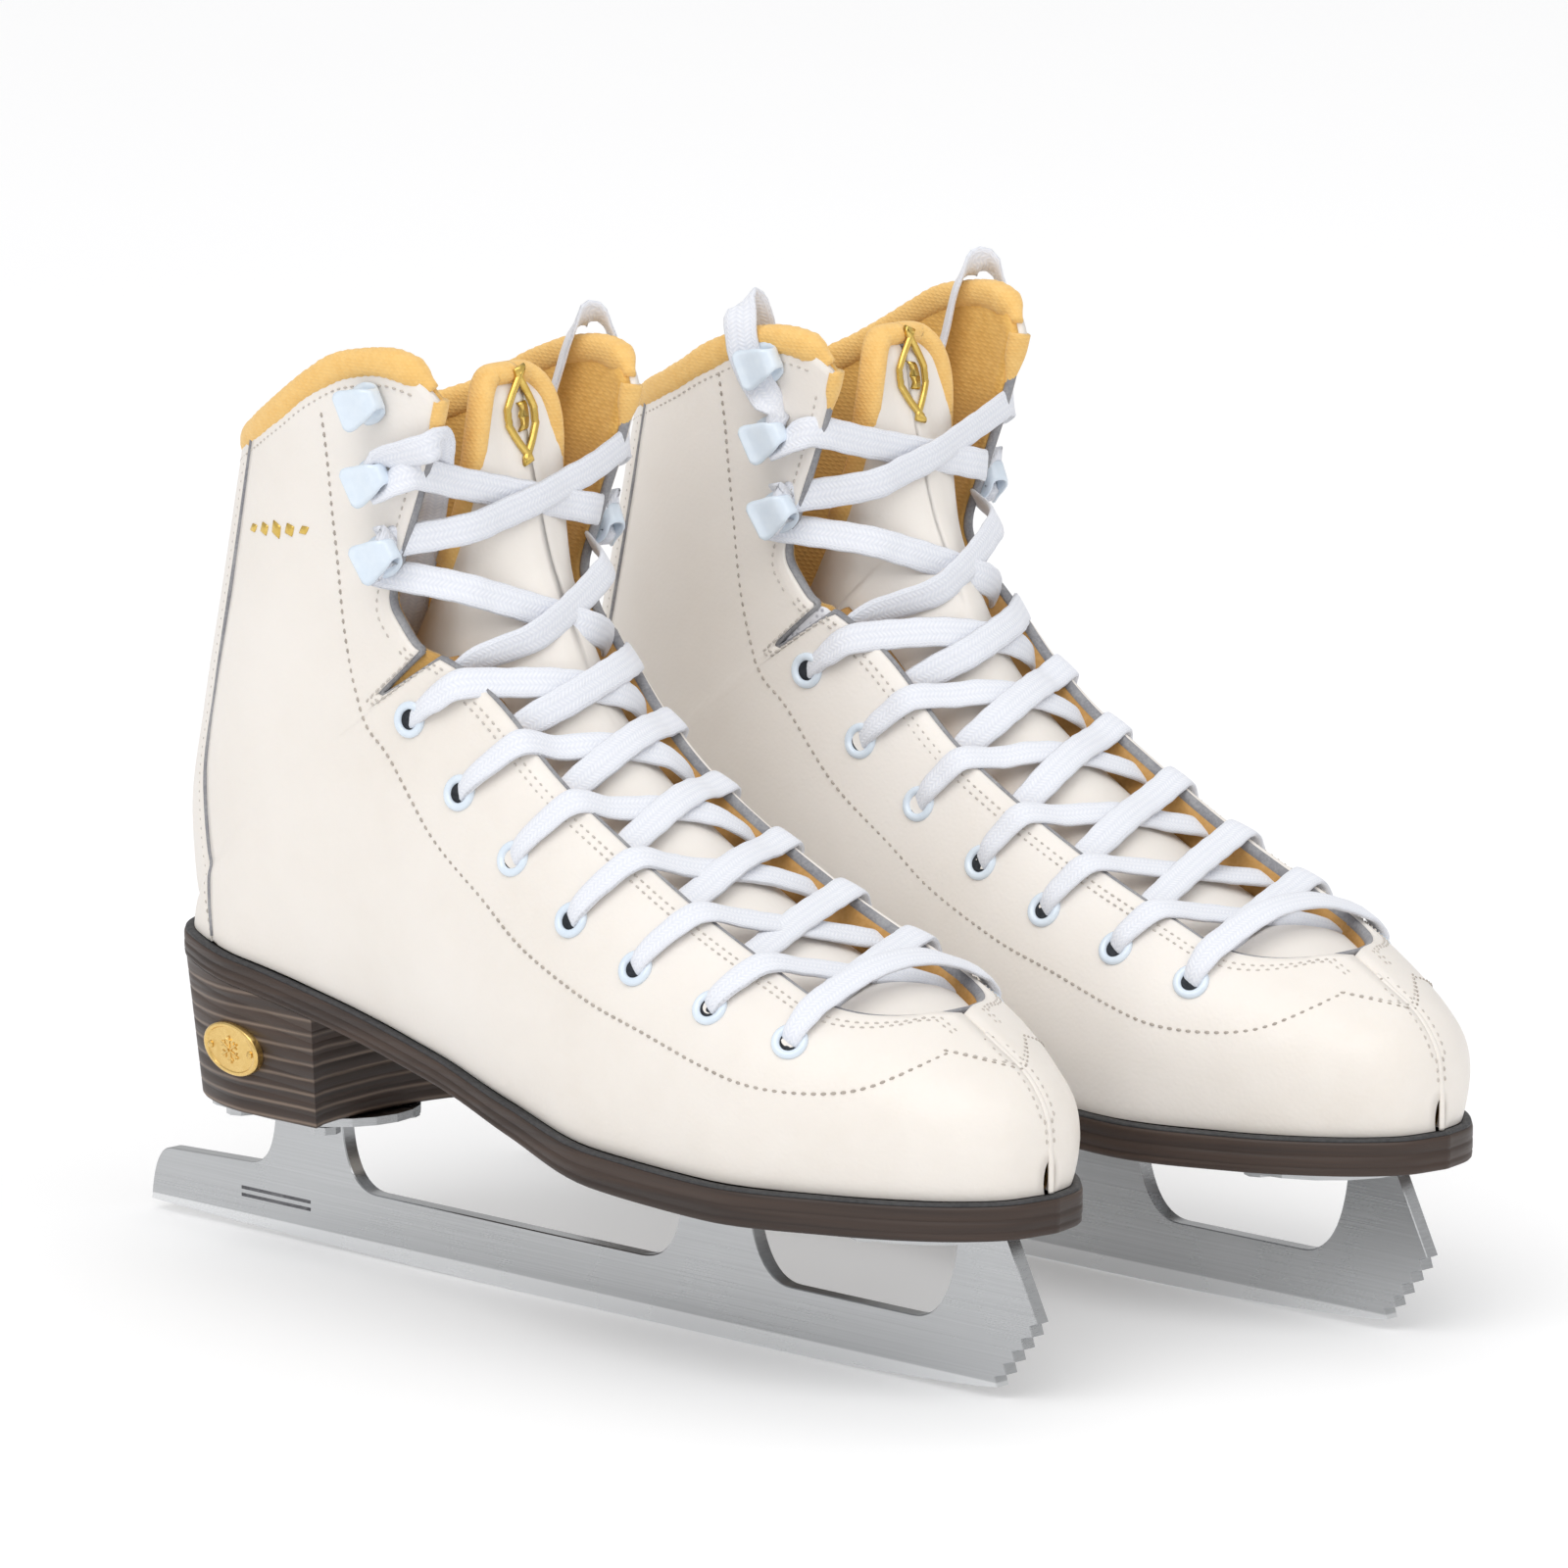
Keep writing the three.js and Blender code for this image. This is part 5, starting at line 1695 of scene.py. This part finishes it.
def makeHeel(skate):
    plan = heelPlan
    first = tAtX(plan["breast"])
    ts = [mix(first, tHeel, math.sin(math.pi / 2 * i / (plan["count"] - 1))) for i in range(plan["count"])]
    levels = [(1.2, 0.0), (0, 0.0)]
    groove = plan["groove"]
    for k in range(1, plan["lifts"]):
        at = k / plan["lifts"]
        levels += [(0, at - 0.012), (groove, at - 0.004), (groove, at + 0.004), (0, at + 0.012)]
    levels += [(0, 0.975), (0.35, 0.992), (1.1, 1)]
    rows = []
    for inset, level in levels:
        shrink = 1 - inset / 28
        ring = []
        for t in ts:
            p = heelPoint(t, -1, level)
            ring.append(Vector((mix(30, p.x, shrink), p.y * shrink, p.z)))
        for t in reversed(ts):
            p = heelPoint(t, 1, level)
            ring.append(Vector((mix(30, p.x, shrink), p.y * shrink, p.z)))
        a, b = ring[-1], ring[0]
        for k in range(1, 12):  # the hollow front face
            share = k / 12
            p = a.lerp(b, share)
            bow = 1 - (2 * share - 1) ** 2
            p.x -= plan["hollow"] * bow ** 0.7 * mix(0.6, 1, level)
            ring.append(p)
        rows.append(ring)
    body = Body()
    total = len(rows[0])
    start = body.grid(len(rows), total, lambda i, j: rows[i][j], False, True)
    body.cap(range(start, start + total))
    body.cap(range(start + (len(rows) - 1) * total, start + len(rows) * total))
    return body.make("heel_block", skate, [heelLeather], "sole", ["heel_block"], 50)


badgePlan = {"at": 31, "length": 21, "height": 13, "thickness": 1.2}


def makeBadge(skate):
    plan = badgePlan
    t, level = tAtX(plan["at"]), 0.5
    along = heelPoint(t + 0.01, -1, level) - heelPoint(t - 0.01, -1, level)
    down = (heelPoint(t, -1, 1) - heelPoint(t, -1, 0)).normalized()
    out = along.cross(down).normalized()
    if out.y > 0:
        out = -out
    up = -down
    across = up.cross(out)
    centre = heelPoint(t, -1, level) + out * 0.05
    a, b = plan["length"] / 2, plan["height"] / 2

    def oval(x, y, height):
        return centre + across * x + up * y + out * height

    body = Body()
    rings = []
    raised = [(1, -0.8), (1, 0.75), (0.97, 1.05), (0.92, 1.15), (0.86, 1.1), (0.83, 0.85), (0.7, 0.92)]
    raised += [(0.4, 1.05), (0.03, 1.1)]
    for size, height in raised:
        ring = []
        for k in range(48):
            q = k * math.pi / 24
            ring.append(oval(a * size * math.cos(q), b * size * math.sin(q), height))
        rings.append(ring)
    body.tube(rings)
    for x in (-a * 0.72, a * 0.72):  # pins
        lathe(body, oval(x, 0, 0.85), out, across, [(0.9, -0.1), (0.9, 0.3), (0.6, 0.6), (0.05, 0.7)], 14)
    for arm in range(6):  # a small frost star
        q = math.pi / 2 + arm * math.pi / 3
        c, s = math.cos(q), math.sin(q)
        route = [(oval(c * r, s * r, 1.15), out) for r in (0.4, 1.3, 2.3, 3.4)]
        body.tube(ringsAlong(route, 0.3, 0.3, 8))
        for lean in (-1, 1):
            w = q + lean * math.radians(50)
            x, y = c * 1.9, s * 1.9
            route = [(oval(x + math.cos(w) * r, y + math.sin(w) * r, 1.12), out) for r in (0, 0.6, 1.2)]
            body.tube(ringsAlong(route, 0.22, 0.24, 8))
    return body.make("heel_badge", skate, [brass], "brass", ["heel_badge"], 40)


insolePlan = {"thickness": 3, "cup": 2.4, "count": 70}


def makeInsole(skate):
    plan = insolePlan
    wall = sizes["leather"] + sizes["lining"] + 4 * sizes["gap"]
    body = Body()
    ts = [t for t in soleTs(plan["count"]) if stationAt(t, -1)["foot"] > wall + 3]

    def pointAt(t, share, layer):
        s = stationAt(t, 1 if share < 0 else -1)
        x = mix(s["low"][0], sizes["soleLength"] / 2, 2 * wall / sizes["soleLength"])
        heelCup = smooth(90, 20, x) + 0.35
        rise = plan["cup"] * heelCup * smooth(0.55, 1, abs(share))
        height = s["low"][1] + 0.25 + plan["thickness"] * layer + rise * layer
        return Vector((x, share * (s["foot"] - wall), height))

    body.sheet(len(ts), 25, lambda i, j, layer: pointAt(ts[i], 2 * j / 24 - 1, layer))
    piece = body.make("insole", skate, [insoleCloth], "insole", ["insole"])
    return piece


# Blade.
bladePlan = {
    "front": 37.4, "rear": 33.4, "runner": 15.5, "thickness": 4, "bevel": 0.25,
    "posts": {"rear": (17, 40), "front": (153, 174), "toe": (240, 255)}, "teeth": 5, "curve": 14,
}


def bladeOutline():
    plan = bladePlan
    high, low, runner = plan["front"], plan["rear"], plan["runner"]
    rear, front, toe = plan["posts"]["rear"], plan["posts"]["front"], plan["posts"]["toe"]
    line = [(118, 0)]

    def to(x, z):
        line.append((x, z))

    def bend(cx, cz, x, z):
        x0, z0 = line[-1]
        for k in range(1, plan["curve"] + 1):
            s = k / plan["curve"]
            line.append(((1 - s) ** 2 * x0 + 2 * s * (1 - s) * cx + s * s * x,
                         (1 - s) ** 2 * z0 + 2 * s * (1 - s) * cz + s * s * z))

    to(178, 0)
    bend(215, 0, 247, 2.4)
    for i in range(plan["teeth"]):
        tip, root = i / (plan["teeth"] - 0.5), (i + 0.55) / (plan["teeth"] - 0.5)
        to(mix(252, 264, tip), mix(3, 18, tip))
        to(mix(252, 264, root) - 2.2, mix(3, 18, root) + 0.4)
    to(264, 19.5)
    to(toe[1], high)
    to(toe[0], high)
    bend(238, runner, 226, runner)
    to(188, runner)
    bend(176, runner, front[1], high)
    to(front[0], high)
    bend(154, runner, 140, runner)
    to(52, runner)
    bend(41, runner, rear[1], low)
    to(rear[0], low)
    bend(17, runner + 1.5, 8, runner + 1.5)
    to(-20, runner + 0.5)
    bend(-26, runner, -27, 2.4)
    bend(50, 0, 118, 0)
    return line[:-1]


def makeBlade(skate):
    plan = bladePlan
    half, b = plan["thickness"] / 2, plan["bevel"]
    outline = bladeOutline()
    total = len(outline)

    def inset(k, amount):
        (x0, z0), (x, z), (x1, z1) = outline[k - 1], outline[k], outline[(k + 1) % total]
        ax, az, bx, bz = x - x0, z - z0, x1 - x, z1 - z
        la, lb = math.hypot(ax, az) or 1, math.hypot(bx, bz) or 1
        nx, nz = -az / la - bz / lb, ax / la + bx / lb
        size = math.hypot(nx, nz) or 1
        return x + nx / size * amount, z + nz / size * amount

    rings = []
    for y, amount in ((-half, b), (-half + b, 0), (half - b, 0), (half, b)):
        ring = []
        for k in range(total):
            x, z = inset(k, amount)
            ring.append(Vector((x, y, max(z, 0))))
        rings.append(ring)
    body = Body()
    start = body.grid(4, total, lambda i, j: rings[i][j], False, True)
    body.cap(range(start, start + total))
    body.cap(range(start + 3 * total, start + 4 * total))
    return body.make("blade", skate, [bladeSteel], "steel", ["blade"], 25)


etchPlan = {"x": 5, "length": 24, "z": (10.2, 8.4), "half": 0.42}


# Two plain etched lines on each side of the blade's tail.
def makeEtching(skate):
    plan = etchPlan
    body = Body()
    for y in (-1, 1):
        for z in plan["z"]:
            route = []
            for k in range(9):
                x = mix(plan["x"], plan["x"] + plan["length"], k / 8)
                route.append((Vector((x, y * bladePlan["thickness"] / 2, z)), Vector((0, y, 0))))
            body.tube(ringsAlong(route, plan["half"], 0.05, 10, 4))
    return body.make("blade_etching", skate, [etched], "steel")


def finishMounts(skate):
    for nodeName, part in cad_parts.items():
        if not nodeName.startswith(skate["name"]) or "plate" not in nodeName:
            continue
        part.data.materials.clear()
        part.data.materials.append(plateSteel)
        soften = part.modifiers.new("soft edges", "BEVEL")
        soften.width = 0.0003
        soften.segments = 2
        soften.limit_method = "ANGLE"


for skate in skates.values():
    makeFacingLining(skate)
    makeNotchMesh(skate, -1)
    for side, name in ((1, "outer"), (-1, "inner")):
        makeEyelets(skate, side, name)
        for index in range(len(hooks)):
            makeHook(skate, side, index, f"hook_{name}_{index + 1}")
    makeToeSeam(skate)
    makeStitching(skate)
    makeEmblem(skate)
    makeFlourish(skate, 1)
    print(skate["name"], "fittings and stitching done")
    makeOutsole(skate)
    makeWelt(skate)
    makeHeel(skate)
    makeBadge(skate)
    makeInsole(skate)
    print(skate["name"], "bottomed")
    makeBlade(skate)
    makeEtching(skate)
    finishMounts(skate)
    print(skate["name"], "blade mounted")


# Floor and light.
studioPlan = {
    "floor": (0.78, 0.78, 0.785), "glow": 0.25, "sky": 0.62, "sun": (18, 52, 1.15, 50),
    "lamps": [("key", 80, 42, 2.0, 1.2, 6), ("fill", -30, 25, 2.4, 1.6, 2), ("top", 205, 65, 2.2, 1.5, 4)],
}


def pointingBack(azimuth, elevation):
    around, up = math.radians(azimuth), math.radians(elevation)
    return Vector((math.sin(around) * math.cos(up), -math.cos(around) * math.cos(up), math.sin(up)))


def hangLamp(data, back, distance):
    lamp = bpy.data.objects.new(data.name, data)
    lamp.location = (cadLow + cadHigh) / 2 + back * distance
    lamp.rotation_euler = back.to_track_quat("Z", "Y").to_euler()
    bpy.context.scene.collection.objects.link(lamp)


def makeStudio():
    plan = studioPlan
    scene = bpy.context.scene
    floorMesh = bpy.data.meshes.new("floor")
    floorMesh.from_pydata([(-15, -15, 0), (15, -15, 0), (15, 15, 0), (-15, 15, 0)], [], [(0, 1, 2, 3)])
    floor = bpy.data.objects.new("floor", floorMesh)
    floor.location.z = cadLow.z - 0.0002
    made, tree, shader = newFinish("pale floor", plan["floor"], 0.75)
    tone = noiseAt(tree, placeOf(tree), 3, 2)
    paler = [c * 0.985 for c in plan["floor"]]
    tree.links.new(blendColor(tree, tone, plan["floor"], paler), shader.inputs["Base Color"])
    shader.inputs["Emission Color"].default_value = (1, 1, 1, 1)
    shader.inputs["Emission Strength"].default_value = plan["glow"]
    floorMesh.materials.append(made)
    scene.collection.objects.link(floor)
    floor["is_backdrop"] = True
    world = bpy.data.worlds.new("studio")
    world.use_nodes = True
    world.node_tree.nodes["Background"].inputs["Color"].default_value = (1, 1, 1, 1)
    world.node_tree.nodes["Background"].inputs["Strength"].default_value = plan["sky"]
    scene.world = world
    azimuth, elevation, strength, spreadAngle = plan["sun"]
    sun = bpy.data.lights.new("sun", "SUN")
    sun.energy = strength
    sun.angle = math.radians(spreadAngle)
    hangLamp(sun, pointingBack(azimuth, elevation), 3)
    for name, azimuth, elevation, distance, size, power in plan["lamps"]:
        data = bpy.data.lights.new(name, "AREA")
        data.size = size
        data.energy = power
        hangLamp(data, pointingBack(azimuth, elevation), distance)


makeStudio()
print("studio lit")

low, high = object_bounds()
